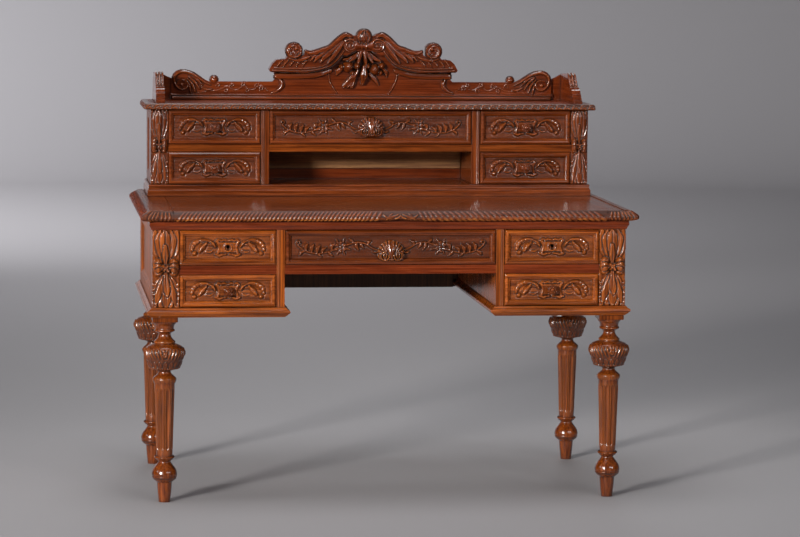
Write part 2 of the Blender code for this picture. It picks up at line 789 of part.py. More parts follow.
def lock(front, name, x, z, top, group):
    """A drawer lock let into the back of the front, and the keyhole in front of it."""
    inner_y = front_y + front_thickness
    half = lock_width / 2
    recess = box(name + "_recess", (x - half - seat_gap, x + half + seat_gap),
                 (inner_y - lock_depth - seat_gap, inner_y + overrun),
                 (top - lock_height - seat_gap, top + overrun), gap=0.0)
    cut(front, recess)
    case = box(name, (x - half, x + half), (inner_y - lock_depth, inner_y),
               (top - lock_height, top), colour=brass, roughness=waxed, metallic=1.0)
    keyhole_z = z + keyhole_slot
    for piece, tag in ((front, "_front"), (case, "_case")):
        cut(piece, cylinder(name + tag + "_keyhole", keyhole_radius,
                            (x, front_y - overrun, keyhole_z), (x, inner_y + overrun, keyhole_z)))
        cut(piece, box(name + tag + "_keyslot", (x - keyhole_slot / 2, x + keyhole_slot / 2),
                       (front_y - overrun, inner_y + overrun),
                       (keyhole_z - keyhole_length, keyhole_z), gap=0.0))
    attach(case, group)


def base_drawers():
    for side, sign in sides():
        xs = ordered(sign * knee_side_x, sign * post_x)
        base_drawer("upper", side, xs, (upper_z, frieze_z))
        base_drawer("lower", side, xs, (lower_z, middle_z))
    base_drawer("centre", "", (-knee_x, knee_x), (upper_z, frieze_z))


def hutch_drawer(row, side, xs, zs):
    """A small drawer of the hutch, front and box in one."""
    name = "_".join(word for word in ("hutch_drawer", row, side) if word)
    xs = (xs[0] + drawer_clearance, xs[1] - drawer_clearance)
    floor = zs[0] + seat_gap
    zs = (zs[0] + drawer_clearance, zs[1] - drawer_clearance)
    group = slide_group(name + "_run", (xs[0] + xs[1]) / 2, hutch_y, (zs[0] + zs[1]) / 2)
    inner_y = hutch_y + front_thickness
    rear = hutch_y + hutch_drawer_depth
    inner_xs = (xs[0] + drawer_clearance, xs[1] - drawer_clearance)
    inner_zs = (floor, zs[1] - box_headroom)
    rings = [front_ring(inner_xs, inner_zs, rear), front_ring(inner_xs, inner_zs, inner_y),
             front_ring(xs, zs, inner_y)]
    obj = loft(name, rings + frame_rings(xs, zs, hutch_y))
    cut(obj, box(name + "_inside", (inner_xs[0] + box_wall, inner_xs[1] - box_wall),
                 (inner_y, rear - box_wall), (floor + box_floor, zs[1])))
    x, z = group.location.x, group.location.z
    if row == "centre":
        shell("hutch_shell_pull_centre", x, shelf_top_z + hutch_shell_lift, hutch_shell_height,
              hutch_y, zs[0] + frame_width, group)
    else:
        cut(obj, knob_hole(name, x, z, hutch_y))
        knob("hutch_knob_" + row + "_" + side, x, z, hutch_y, group)
    attach(obj, group)


def hutch_drawers():
    for side, sign in sides():
        xs = ordered(sign * niche_side_x, sign * hutch_post_x)
        hutch_drawer("upper", side, xs, (shelf_top_z, cornice_z))
        hutch_drawer("lower", side, xs, (cabinet_z, shelf_z))
    hutch_drawer("centre", "", (-niche_x, niche_x), (shelf_top_z, cornice_z))


# Hutch
def plinth_piece():
    """The hutch's moulded base, with a guide for each lower drawer on it."""
    obj = moulded_slab("hutch_plinth", (-hutch_x, hutch_x), (hutch_y, hutch_rear_y),
                       (plinth_z, cabinet_z), plinth_profile_share, left=plinth_projection,
                       right=plinth_projection, front=plinth_projection)
    for side, sign in sides():
        join(obj, drawer_guide("hutch_plinth_guide_" + side, hutch_post_x, sign,
                               (hutch_post_y + overrun, hutch_back_y - overrun), cabinet_z))
    return obj


def divider_piece(side, sign):
    """A divider of the hutch, slotted from the front for the shelf."""
    slot_y = hutch_y + hutch_housing
    outline = [(hutch_y, cabinet_z), (hutch_back_y, cabinet_z), (hutch_back_y, cornice_z),
               (hutch_y, cornice_z), (hutch_y, shelf_top_z), (slot_y, shelf_top_z),
               (slot_y, shelf_z), (hutch_y, shelf_z)]
    return prism("hutch_divider_" + side, inset_outline(outline), 'X', sign * niche_x,
                 sign * niche_side_x)


def shelf_piece():
    """The shelf across the hutch, slotted for the dividers."""
    return housed_board("hutch_shelf", hutch_side_x, (hutch_y, hutch_back_y),
                        (shelf_z, shelf_top_z), hutch_post_x, hutch_post_y,
                        (niche_x, niche_side_x), hutch_y + hutch_housing, colour=oak_orange)


def hutch():
    plinth_piece()
    for side, sign in sides():
        box("hutch_post_" + side, ordered(sign * hutch_post_x, sign * hutch_x),
            (hutch_y, hutch_post_y), (cabinet_z, cornice_z))
        sunk_panel("hutch_side_" + side, sign, hutch_x, hutch_side_x,
                   (hutch_post_y, hutch_rear_y), (cabinet_z, cornice_z))
        divider_piece(side, sign)
    shelf_piece()
    box("hutch_back", (-hutch_side_x, hutch_side_x), (hutch_back_y, hutch_rear_y - back_inset),
        (cabinet_z, cornice_z), colour=oak_brown, roughness=raw)
    moulded_slab("hutch_cornice", (-hutch_x, hutch_x), (hutch_y, hutch_rear_y + cornice_rear),
                 (cornice_z, gallery_z), cornice_profile_share, left=cornice_projection,
                 right=cornice_projection, front=cornice_projection)


# Gallery
def crest_point(share):
    return (share[0] * crest_x, gallery_z + seat_gap + share[1] * crest_height)


def crest_places():
    """Centres of the ball, the volutes and the finials, on the right half."""
    ball = (0.0, gallery_z + crest_height - crest_ball)
    shares = (inner_volute_share, outer_volute_share, hump_volute_share, finial_share)
    return ball, *(crest_point(share) for share in shares)


def crest_top():
    """The right half of the upper outline, from the ball out to the pediment's end."""
    ball, inner, outer, hump, finial = crest_places()
    points = arc(ball, crest_ball, 90, 10, ball_steps)
    points += [crest_point(share) for share in crest_shoulder_share]
    points += arc(outer, outer_volute, 150, -40, scroll_steps)
    points += [crest_point(share) for share in crest_cornice_share[:4]]
    return points


def gallery_back_piece():
    """The crest board, cut to the outline of humps, scrolls and ball."""
    finial = crest_places()[4]
    half = crest_top()
    half += [crest_point(share) for share in crest_cornice_share[4:] + crest_side_share]
    half += arc(finial, finial_ball, 235, -55, scroll_steps)
    half += [crest_point(share) for share in crest_hump_share]
    half += [(crest_x + (wing_x - crest_x) * u, crest_point((1, v))[1]) for u, v in wing_share]
    outline = half + [(-x, z) for x, z in reversed(half[1:])]
    obj = prism("gallery_back", outline, 'Y', crest_y, crest_rear_y, colour=oak_brown)
    hump = crest_places()[3]
    for side, sign in sides():
        centre = (sign * hump[0], hump[1])
        join(obj, cylinder("hump_volute_" + side, hump_volute,
                           (centre[0], crest_y - volute_relief, centre[1]),
                           (centre[0], crest_y + crest_thickness / 2, centre[1]), volute_steps))
        cut(obj, box("wing_" + side, ordered(sign * crest_x, sign * (wing_x + overrun)),
                     (crest_y - overrun, crest_y + wing_sink),
                     (gallery_z - overrun, gallery_z + crest_height)))
    return obj


def pediment_piece():
    """The broken scroll pediment in front of the crest board."""
    ball, inner, outer, hump, finial = crest_places()
    half = crest_top() + [crest_point(share) for share in pediment_sweep_share]
    outline = half + [(-x, z) for x, z in reversed(half[1:-1])]
    front = crest_y - pediment_thickness
    obj = prism("pediment_moulding", outline, 'Y', front, crest_y, colour=oak_red)
    for side, sign in sides():
        for tag, centre, radius in (("inner", inner, inner_volute), ("outer", outer, outer_volute)):
            x = sign * centre[0]
            join(obj, cylinder("_".join((tag, "volute", side)), radius - volute_margin,
                               (x, front - volute_relief, centre[1]),
                               (x, crest_y - pediment_thickness / 2, centre[1]), volute_steps))
    return obj


def gallery_end_piece(side, sign):
    """A console that closes the gallery's side, stepped and sloping back in front."""
    front = hutch_y + end_front
    depth = crest_rear_y - front
    outline = [(front + u * depth, gallery_z + v * end_height) for u, v in end_side_share]
    obj = prism("gallery_end_" + side, inset_outline(outline), 'X', sign * end_inner_x,
                sign * end_outer_x, colour=oak_orange)
    for vertex in obj.data.vertices:
        if abs(vertex.co.x) > (end_inner_x + end_outer_x) / 2:
            vertex.co.x -= sign * end_taper * (vertex.co.z - gallery_z) / end_height
    return obj


def gallery():
    gallery_back_piece()
    pediment_piece()
    for side, sign in sides():
        gallery_end_piece(side, sign)


stand()
drawer_case()
writing_top()
base_drawers()
hutch()
hutch_drawers()
gallery()
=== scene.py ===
"""Carving, oak finishes and a plain studio for the writing desk.

Carving is laid out in millimetres on panels, u along and v up, and then placed in metres. A stroke
is given as its line, half width, height, vein, trench, flat and crown, as Relief.stroke says.
"""
import math
from contextlib import contextmanager

import bmesh
import bpy
import numpy as np
from bpy.props import FloatProperty, FloatVectorProperty, PointerProperty
from mathutils import Matrix, Vector


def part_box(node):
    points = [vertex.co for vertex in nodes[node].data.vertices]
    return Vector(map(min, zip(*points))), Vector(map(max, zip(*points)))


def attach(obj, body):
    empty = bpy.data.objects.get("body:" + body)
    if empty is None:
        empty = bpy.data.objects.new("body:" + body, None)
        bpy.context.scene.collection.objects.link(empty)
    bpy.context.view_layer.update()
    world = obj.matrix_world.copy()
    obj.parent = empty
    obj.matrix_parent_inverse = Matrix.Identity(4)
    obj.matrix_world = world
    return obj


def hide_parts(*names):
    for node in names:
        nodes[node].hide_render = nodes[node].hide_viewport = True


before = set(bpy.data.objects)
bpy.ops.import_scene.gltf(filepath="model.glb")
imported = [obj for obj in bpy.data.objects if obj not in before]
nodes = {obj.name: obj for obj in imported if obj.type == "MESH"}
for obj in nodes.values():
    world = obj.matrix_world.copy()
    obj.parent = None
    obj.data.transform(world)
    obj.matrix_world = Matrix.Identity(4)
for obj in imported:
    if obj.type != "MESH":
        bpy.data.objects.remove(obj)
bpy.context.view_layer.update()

bl_info = {
    "name": "Carved oak writing desk",
    "version": (1, 0, 0),
    "blender": (4, 5, 0),
    "location": "3D View > Sidebar > Desk",
    "description": "Carving, waxed oak finishes and a studio for a carved writing desk",
    "category": "Object",
}

MM = 0.001
X, Y, Z = 0, 1, 2
SIDES = (("left", -1), ("right", 1))


def linear(hex_colour):
    """An sRGB hex colour as linear values."""
    values = [int(hex_colour[i:i + 2], 16) / 255 for i in (1, 3, 5)]
    return tuple(v / 12.92 if v <= 0.04045 else ((v + 0.055) / 1.055) ** 2.4 for v in values)


def tint(name, description, hex_colour):
    """A colour property."""
    return FloatVectorProperty(name=name, description=description, subtype='COLOR',
                               default=linear(hex_colour))


def cut(name, description, default):
    """A length property of the carving."""
    return FloatProperty(name=name, description=description, unit='LENGTH', default=default,
                         min=0.0005, max=0.02)


class DeskFinish(bpy.types.PropertyGroup):
    """Colours of the waxed oak and the studio."""
    red: tint("Red oak", "Frieze rail, middle board and cornice board", "#6c2808")
    golden: tint("Golden oak", "Lit, worn fronts of the base", "#8f4514")
    brown: tint("Brown oak", "Legs, lower pulls, hutch shelf and cornice leaves", "#70320b")
    crest: tint("Crest oak", "Crest and gallery", "#64270b")
    dark: tint("Dark oak", "Hutch, writing top and wide drawer", "#692d0b")
    raw: tint("Raw oak", "Drawer boxes and the board in the niche", "#a0714a")
    # Dark enough that the back, seen through the kneehole, shows black: painted shade
    back: tint("Back boards", "Dark, unpolished boards of the back", "#472c1a")
    worn: tint("Worn edge", "Edges rubbed down to bare oak", "#c0702c")
    # Also the colour of the painted shade in corners and hollows
    grime: tint("Old wax", "Dark wax left in the hollows", "#180a04")
    floor: tint("Floor", "Studio floor and backdrop", "#a3a0a2")


class DeskCarving(bpy.types.PropertyGroup):
    """Sizes of the carving."""
    step: cut("Cut spacing", "Distance between points of carved faces", 0.0012)
    drawer_relief: cut("Drawer relief", "Height of the drawers' scrolls", 0.0078)
    post_relief: cut("Post relief", "Height of the posts' leaves", 0.0085)
    edge_relief: cut("Edge relief", "Height of the lobes on the top's edge", 0.0021)


# Relief carving
SHARPENING = 0.7    # how much crisper the cuts are than the smoothed heights
GROUND_WAX_AND_SHADE = 0.26   # darkening of the ground between the carving: old wax and painted shade
FULL_TONE = 1.7     # height over its surroundings that is rubbed quite bare, in mm
CLEAR = 0.2         # height over a sunk ground that counts as carving, in mm
SKIRT = 1.5         # how far a panel's border is turned down into its board, in mm
SLOPE_REACH = 0.6   # distance on a profile over which its slope is taken, in mm
SOFT_EDGE = 0.0012  # width of a board's bevel, in metres


def curve_through(points, spacing):
    """A smooth line through points, and at each step how many points lie behind it."""
    p = np.array(points, float)
    ends = np.vstack((2 * p[0] - p[1], p, 2 * p[-1] - p[-2]))
    line, index = [], []
    for i in range(len(p) - 1):
        a, b, c, d = ends[i:i + 4]
        steps = max(2, int(np.linalg.norm(c - b) / spacing))
        t = (np.arange(steps) / steps)[:, None]
        line.append(0.5 * (2 * b + (c - a) * t + (2 * a - 5 * b + 4 * c - d) * t ** 2
                           + (3 * b - a - 3 * c + d) * t ** 3))
        index.append(i + t[:, 0])
    line.append(p[-1:])
    index.append([len(p) - 1.0])
    return np.vstack(line), np.concatenate(index)


def spiral(centre, start_radius, end_radius, start, end, count=14):
    """Points on a scroll round a centre, between two angles in degrees."""
    turn = np.linspace(0, 1, count)
    angle = np.radians(start + (end - start) * turn)
    radius = start_radius + (end_radius - start_radius) * turn
    return list(zip(centre[0] + radius * np.cos(angle), centre[1] + radius * np.sin(angle)))


def blurred(field, reach):
    """The mean of a field over a square of 2 * reach + 1 points."""
    for axis in (0, 1):
        wide = np.pad(field, [(reach + 1, reach) if i == axis else (0, 0) for i in (0, 1)], 'edge')
        total = np.cumsum(wide, axis=axis)
        size = field.shape[axis]
        ahead = np.take(total, np.arange(size) + 2 * reach + 1, axis=axis)
        field = (ahead - np.take(total, np.arange(size), axis=axis)) / (2 * reach + 1)
    return field


class Relief:
    """Carved heights over a panel, all in millimetres from its lower left corner.

    A ground below zero lies inside the wood that carries the panel, so that only the carving
    stands out of it.
    """

    def __init__(self, length, height, step, ground=0.0, origin=None, mirrored=False, seed=1):
        self.us = np.linspace(0, length, max(2, round(length / step) + 1))
        self.vs = np.linspace(0, height, max(2, round(height / step) + 1))
        self.u, self.v = np.meshgrid(self.us, self.vs)
        self.h = np.full_like(self.u, ground)
        self.wear = np.zeros_like(self.u)
        self.carved = np.zeros(self.u.shape, bool)
        self.step = step
        self.ground = ground
        self.origin = origin or (length / 2, height / 2)
        self.mirrored = mirrored
        self.noise = np.random.default_rng(seed)

    def stroke(self, line, width, height, vein=0.0, trench=0.0, flat=0.0, crown=2.0):
        """A stem, leaf or groove along a line, tapered from point to point. Its section is round
        with a crown of 2 and roof-shaped with a crown of 1; flat is the share of its height that
        its edges keep."""
        line = [(self.origin[0] + u, self.origin[1] + v) for u, v in line]
        self._stroke(line, width, height, vein, trench, flat, crown)
        if self.mirrored:
            line = [(2 * self.origin[0] - u, v) for u, v in line]
            self._stroke(line, width, height, vein, trench, flat, crown)

    def strokes(self, *rows):
        """Strokes in order, each row as (line, width, height, vein, trench, flat, crown)."""
        for row in rows:
            self.stroke(*row)

    def leaf(self, line, width, height, vein=0.0, trench=1.6, flat=0.5, crown=1.25):
        """A leaf with two cut faces that meet in a ridge, or in a fold where it has a vein."""
        self.stroke(line, width, height, vein, trench, flat, crown)

    def _stroke(self, line, width, height, vein, trench, flat, crown):
        path, index = curve_through(line, 1.6 * self.step)
        share = index / index[-1]
        ws = np.interp(share, np.linspace(0, 1, np.size(width)), np.atleast_1d(width))
        hs = np.interp(share, np.linspace(0, 1, np.size(height)), np.atleast_1d(height))
        low, high = path.min(0) - 1.5 * ws.max(), path.max(0) + 1.5 * ws.max()
        cols = np.flatnonzero((self.us >= low[0]) & (self.us <= high[0]))
        rows = np.flatnonzero((self.vs >= low[1]) & (self.vs <= high[1]))
        if not len(cols) or not len(rows):
            return
        part = np.ix_(rows, cols)
        u, v = self.u[part], self.v[part]
        best = np.full(u.shape, 9.0)
        top = np.zeros(u.shape)
        for i in range(len(path) - 1):
            step = path[i + 1] - path[i]
            t = np.clip(((u - path[i, 0]) * step[0] + (v - path[i, 1]) * step[1])
                        / max(step @ step, 1e-9), 0, 1)
            away = np.hypot(u - path[i, 0] - t * step[0], v - path[i, 1] - t * step[1])
            ratio = away / (ws[i] + t * (ws[i + 1] - ws[i]) + 1e-6)
            near = ratio < best
            best[near] = ratio[near]
            top[near] = (hs[i] + t * (hs[i + 1] - hs[i]))[near]
        dome = np.clip(1 - best ** crown, 0, 1) ** (0.5 * crown)
        body = top * (flat + (1 - flat) * dome) * (1 - vein * np.exp(-(best / 0.30) ** 2))
        here = self.h[part]
        if trench:
            edge = (best >= 1) & (best < 1.5)
            here = np.where(edge, here - trench * (3 - 2 * best), here)
        raised = np.maximum(here, body) if np.max(hs) > 0 else here + body
        self.h[part] = np.where(best < 1, raised, here)
        self.carved[part] |= best < 1

    def slab(self, low, high, height, bevel=1.5):
        """A flat plate with sloping edges."""
        u, v = self.u - self.origin[0], self.v - self.origin[1]
        inside = np.minimum.reduce((u - low[0], high[0] - u, v - low[1], high[1] - v))
        body = height * np.clip(inside / bevel, 0, 1)
        self.h = np.where(inside > 0, np.maximum(self.h, body), self.h)
        self.carved |= inside > 0

    def boss(self, centre, radius, height, flat=0.0, trench=0.0):
        """A round boss."""
        u, v = centre
        self.stroke([(u, v), (u + 0.01, v)], radius, height, flat=flat, trench=trench)

    def blade(self, line, width, height, trench=1.6):
        """A long leaf folded along its middle."""
        width, height = np.atleast_1d(width), np.atleast_1d(height)
        self.leaf(line, width, height, trench=trench, flat=0.55, crown=1.1)
        self.stroke(line, 0.16 * width + 0.4, -0.13 * height)

    def rosette(self, centre, radius, height, petals):
        """A flower: petals round a domed eye."""
        for i in range(petals):
            angle = math.tau * (i + 0.5) / petals
            way = np.array((math.cos(angle), math.sin(angle)))
            line = [np.array(centre) + way * radius * share for share in (0.3, 0.75)]
            self.stroke(line, [radius * 0.18, radius * 0.30],
                        [height * 0.6, height], vein=0.3, trench=0.5)
        self.boss(centre, radius * 0.26, height * 1.15, trench=0.5)

    def finish(self, matting=0.0, soften=1):
        """Rounds the knife's edges and punches the ground between the carving."""
        self.h = blurred(self.h, soften) if soften else self.h
        self.h += SHARPENING * (self.h - blurred(self.h, 2))
        if matting:
            self.h += np.where(self.carved, 0, matting * (self.noise.random(self.h.shape) - 0.5))

    def tone(self):
        """How far each point stands above (+) or below (-) its surroundings, from -1 to 1."""
        # Points below their surroundings, and the ground between the carving, darken: old wax and
        # painted shade
        tone = (self.h - blurred(self.h, 3)) / FULL_TONE
        return np.clip(tone - GROUND_WAX_AND_SHADE * ~self.carved + self.wear, -1, 1)

    def standing(self):
        """The points that stand out of the wood behind, with a margin of two points round them."""
        return blurred((self.h > self.ground + CLEAR).astype(float), 2) > 0


def grid_mesh(name, points, tone=None, round_u=False, keep=None):
    """A mesh over rows of points, closed round u where asked."""
    rows, cols = points.shape[:2]
    number = np.arange(rows * cols).reshape(rows, cols)
    if round_u:
        number = np.hstack((number, number[:, :1]))
    quads = np.stack((number[:-1, :-1], number[:-1, 1:], number[1:, 1:], number[1:, :-1]), -1)
    quads = quads.reshape(-1, 4)
    points = points.reshape(-1, 3)
    tone = np.zeros(len(points)) if tone is None else tone.reshape(-1)
    if keep is not None:
        quads = quads[keep.reshape(-1)[quads].all(1)]
        used = np.unique(quads)
        quads = np.searchsorted(used, quads)
        points, tone = points[used], tone[used]
    mesh = bpy.data.meshes.new(name)
    mesh.from_pydata(points.tolist(), [], quads.tolist())
    layer = mesh.attributes.new("tone", 'FLOAT', 'POINT')
    layer.data.foreach_set("value", tone.astype(np.float32))
    mesh.shade_smooth()
    return mesh


def relief_mesh(name, relief, place, keep=None):
    """The carved face, its border turned down into the wood behind it."""
    if keep is None and relief.ground < 0:
        keep = relief.standing()
    u, v, h, tone = (np.pad(field, 1, 'edge')
                     for field in (relief.u, relief.v, relief.h, relief.tone()))
    h[[0, -1]] = h[:, [0, -1]] = relief.ground - SKIRT
    if keep is not None:
        keep = np.pad(keep, 1, 'edge')
    return grid_mesh(name, np.stack(place(u, v, h), -1), tone, keep=keep)


def facing_front(left, face_y, low):
    """Places a panel that faces the sitter; left and low are its lower left corner."""
    return lambda u, v, h: (left + u * MM, face_y - h * MM, low + v * MM)


def along_profile(profile, set_down):
    """Places a strip on a moulding, whose profile is (out, up) from its lower edge up, and gives
    the profile's length."""
    path = np.array(profile, float)
    run = np.concatenate(([0], np.cumsum(np.hypot(*np.diff(path, axis=0).T))))

    def place(u, v, h):
        out, up = (np.interp(v, run, path[:, i]) for i in (0, 1))
        d_out, d_up = (np.interp(v + SLOPE_REACH, run, path[:, i])
                       - np.interp(v - SLOPE_REACH, run, path[:, i]) for i in (0, 1))
        size = np.hypot(d_out, d_up) + 1e-9
        return set_down(u, out + h * d_up / size, up - h * d_out / size)
    return place, run[-1]


@contextmanager
def edited(mesh):
    """A mesh opened for editing and written back after it."""
    bm = bmesh.new()
    bm.from_mesh(mesh)
    yield bm
    bm.to_mesh(mesh)
    bm.free()


def fill_ends(bm):
    bmesh.ops.holes_fill(bm, edges=[e for e in bm.edges if e.is_boundary])


def lathe(name, profile, steps, spacing):
    """A turned piece round Z from (radius, height) points in millimetres, lowest first."""
    path = curve_through(profile, spacing)[0]
    angle = np.linspace(0, math.tau, steps + 1)[:-1]
    radius = np.maximum(path[:, :1], 0.01)
    points = np.stack((radius * np.cos(angle), radius * np.sin(angle),
                       np.repeat(path[:, 1:], steps, 1)), -1) * MM
    # Crests of the turning are rubbed and its grooves are darkened as old wax and painted shade,
    # fully so at a bend of 0.8 mm
    tone = np.clip((path[:, :1] - blurred(path[:, :1], 3)) / 0.8, -1, 1)
    mesh = grid_mesh(name, points, np.repeat(tone, steps, 1), round_u=True)
    with edited(mesh) as bm:
        fill_ends(bm)
        bmesh.ops.recalc_face_normals(bm, faces=bm.faces)
    return mesh


def block(bm, low, high, bevel):
    """A block with softened edges between two corners."""
    low, high = Vector(low), Vector(high)
    verts = bmesh.ops.create_cube(bm, size=1.0)["verts"]
    bmesh.ops.scale(bm, vec=high - low, verts=verts)
    bmesh.ops.translate(bm, vec=(low + high) / 2, verts=verts)
    # Each edge once, in a fixed order
    edges = list(dict.fromkeys(e for v in verts for e in v.link_edges))
    bmesh.ops.bevel(bm, geom=edges, offset=bevel, segments=2, affect='EDGES')


def plank(name, low, high, bevel=SOFT_EDGE):
    """A board with softened edges between two corners."""
    mesh = bpy.data.meshes.new(name)
    with edited(mesh) as bm:
        block(bm, low, high, bevel)
    return mesh


def piece(name, mesh, material, body, slot, node=(), at=None):
    """A named object that rides on a body; at places a mesh made round the origin."""
    if at is not None:
        mesh.transform(at)
    obj = bpy.data.objects.new(name, mesh)
    bpy.context.scene.collection.objects.link(obj)
    mesh.materials.append(material)
    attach(obj, body)
    if node:
        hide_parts(*node)
    return obj


def centre_of(low, high, z=None):
    """The place in the middle of a box, or at a height of its own."""
    return (low.x + high.x) / 2, (low.y + high.y) / 2, (low.z + high.z) / 2 if z is None else z


# Finishes
def feed(node, inputs):
    """Sets inputs by name or number; each gets a value or the socket that feeds it."""
    for key, value in inputs.items():
        if isinstance(value, bpy.types.NodeSocket):
            node.id_data.links.new(value, node.inputs[key])
        else:
            node.inputs[key].default_value = value


def add(tree, kind, inputs, output=0, **settings):
    """Adds a shader node and gives one of its outputs; its inputs are listed in order or named."""
    node = tree.nodes.new("ShaderNode" + kind)
    for key, value in settings.items():
        setattr(node, key, value)
    feed(node, inputs if isinstance(inputs, dict) else dict(enumerate(inputs)))
    return node.outputs[output]


def new_material(name):
    """A material, its node tree and its shader."""
    mat = bpy.data.materials.new(name)
    mat.use_nodes = True
    return mat, mat.node_tree, mat.node_tree.nodes["Principled BSDF"]


def rgba(colour):
    return (*colour, 1.0)


def shade(colour, red, green=None):
    """A colour with its green scaled by one factor and the rest by another, or all alike."""
    factors = (red, red if green is None else green, red)
    return rgba(min(1.0, c * factor) for c, factor in zip(colour, factors))


def waxed_oak(name, colour, axis, roughness, contrast, worn, waxed, coat):
    """Sawn and carved oak, stained, then waxed for a century: streaky, with dark wax and painted
    shade in the hollows and corners, paler rubbed edges and a soft gloss that breaks up along the
    grain. Unwaxed, it is the dry, dull oak of a drawer's inside."""
    finish = bpy.context.scene.desk_finish
    mat, tree, shader = new_material(name)
    coords = add(tree, "TexCoord", {}, "Object")

    def grain(across_mm, along_mm, detail, distortion=0.4):
        scale = [1000 / across_mm] * 3
        scale[axis] = 1000 / along_mm
        return add(tree, "TexNoise", {
            "Vector": add(tree, "Mapping", {"Vector": coords, "Scale": scale}), "Scale": 1.0,
            "Detail": detail, "Roughness": 0.62, "Distortion": distortion})

    # Year rings lie 2 to 4 mm apart in oak and are drawn at 5 mm so that they show
    streaks = grain(5, 170, 6)
    # Pores are 0.3 mm wide dashes, drawn at 1.6 mm
    pores = grain(1.6, 26, 3, 0.1)
    # The broad figure of a board, and patches about 140 mm wide left by stain and sun
    bands = grain(34, 420, 3, 0.9)
    patches = add(tree, "TexNoise", {"Vector": coords, "Scale": 7.0, "Detail": 3.0})
    ramp = add(tree, "ValToRGB", {"Fac": streaks})
    for end, place, red, green in zip(ramp.node.color_ramp.elements, (0.36, 0.64),
                                      (-0.55, 0.50), (-0.62, 0.62)):
        end.position = place
        end.color = shade(colour, 1 + red * contrast, 1 + green * contrast)
    level = add(tree, "Math", (
        add(tree, "MapRange", (bands, 0.3, 0.7, 1 - 0.30 * contrast, 1 + 0.30 * contrast)),
        add(tree, "MapRange", (patches, 0.3, 0.7, 0.85, 1.15))), operation='MULTIPLY')
    colours = add(tree, "VectorMath", {0: ramp, "Scale": level}, operation='SCALE')
    tone = add(tree, "Attribute", {}, "Fac", attribute_name="tone")
    # Painted shade: corners found by ambient occlusion darken towards the old wax's colour
    corner = add(tree, "AmbientOcclusion", {"Distance": 0.016}, "AO", samples=4)
    wax_shade_share = add(tree, "Math", (
        add(tree, "MapRange", (tone, 0.0, -0.7, 0.0, 0.86)),
        add(tree, "MapRange", (corner, 0.85, 0.15, 0.0, 0.70))), operation='MAXIMUM')
    # Dark pores, then old wax and painted shade, then bare wood over the streaks
    for share, layer in (
            (add(tree, "MapRange", (pores, 0.56, 0.70, 0.0, 0.6)), shade(colour, 0.28)),
            (wax_shade_share, rgba(finish.grime)),
            (add(tree, "MapRange", (tone, 0.20, 1.0, 0.0, worn)), rgba(finish.worn))):
        colours = add(tree, "Mix", {0: share, 6: colours, 7: layer}, 2, data_type='RGBA')
    gloss = add(tree, "MapRange", (streaks, 0.25, 0.75, roughness - 0.05, roughness + 0.10))
    lines = add(tree, "Math", (pores, -0.7, streaks), operation='MULTIPLY_ADD')
    feed(shader, {
        "Base Color": colours,
        "Roughness": add(tree, "Math", (wax_shade_share, 0.30, gloss), operation='MULTIPLY_ADD'),
        "Normal": add(tree, "Bump", {"Strength": 0.30 if waxed else 0.6, "Distance": 0.0006,
                                     "Height": lines}),
        "IOR": 1.50 if waxed else 1.40,
        # The last coat of wax lies over the pores and gives small, crisp lights
        "Coat Weight": coat if waxed else 0.0, "Coat Roughness": 0.09, "Coat IOR": 1.45})
    return mat


def aged_metal(name, bare, stained):
    """Metal gone dull with age: streaks of the file show through the tarnish."""
    mat, tree, shader = new_material(name)
    coords = add(tree, "TexCoord", {}, "Object")
    # File marks lie about 1 mm apart and are some 17 mm long; the tarnish has 11 mm spots
    file_marks = add(tree, "Mapping", {"Vector": coords, "Scale": (60, 400, 900)})
    marks = add(tree, "TexNoise", {"Vector": file_marks, "Scale": 1.0, "Detail": 4.0})
    stain = add(tree, "TexNoise", {"Vector": coords, "Scale": 90.0, "Detail": 4.0})
    share = add(tree, "MapRange", (stain, 0.40, 0.65, 0.0, 0.8))
    feed(shader, {
        "Base Color": add(tree, "Mix", {0: share, 6: rgba(linear(bare)), 7: rgba(linear(stained))},
                          2, data_type='RGBA'),
        "Roughness": add(tree, "MapRange", (marks, 0.3, 0.7, 0.28, 0.5)), "Metallic": 1.0})
    return mat


# The materials made so far, by name
finishes = {}
WAX_COAT = 0.45      # weight of the last coat of wax on carved faces and drawers
LOST_GLOSS = 0.16    # roughness that a rubbed edge or flank has gained
WORN_EDGE, WORN_FLANK = 0.9, 0.1
# Roughness, contrast of the grain and share of rubbed edges of each oak
oaks = {"red": (0.24, 0.7, 0.08), "golden": (0.20, 1.0, 0.10), "dark": (0.19, 0.9, 0.08),
        "brown": (0.18, 0.95, 0.32), "crest": (0.17, 0.8, 0.08),
        "raw": (0.66, 0.6, 0.10), "back": (0.60, 0.6, 0.10)}
SLOTS = {"red": "red_waxed_oak", "brown": "red_waxed_oak", "golden": "golden_waxed_oak",
         "dark": "dark_waxed_oak", "crest": "dark_waxed_oak", "raw": "drawer_lining_oak",
         "back": "back_board_oak"}


def once(name, make, *values):
    """A material, made when it is first asked for."""
    if name not in finishes:
        finishes[name] = make(name, *values)
    return finishes[name]


def oak(kind, axis, worn=None, coat=WAX_COAT):
    """The oak of one colour with its grain along one axis."""
    name = "%s_oak_%s" % (kind, "xyz"[axis])
    name += "_rubbed" * (worn is not None) + "_plain" * (not coat)
    roughness, contrast, rubbed = oaks[kind]
    if worn is not None:
        # A rubbed edge has lost its wax and is duller than the rest
        roughness, rubbed, coat = roughness + LOST_GLOSS, worn, 0.0
    colour = tuple(getattr(bpy.context.scene.desk_finish, kind))
    return once(name, waxed_oak, colour, axis, roughness, contrast, rubbed,
                kind not in ("raw", "back"), coat)


def oak_piece(name, mesh, kind, axis, body="case", worn=None, **more):
    """A piece of one of the oaks."""
    return piece(name, mesh, oak(kind, axis, worn), body, SLOTS[kind], **more)


def carving(name, relief, place, kind, axis, body="case", worn=None, keep=None):
    """A carved face as a piece of one of the oaks."""
    return oak_piece(name, relief_mesh(name, relief, place, keep), kind, axis, body, worn)
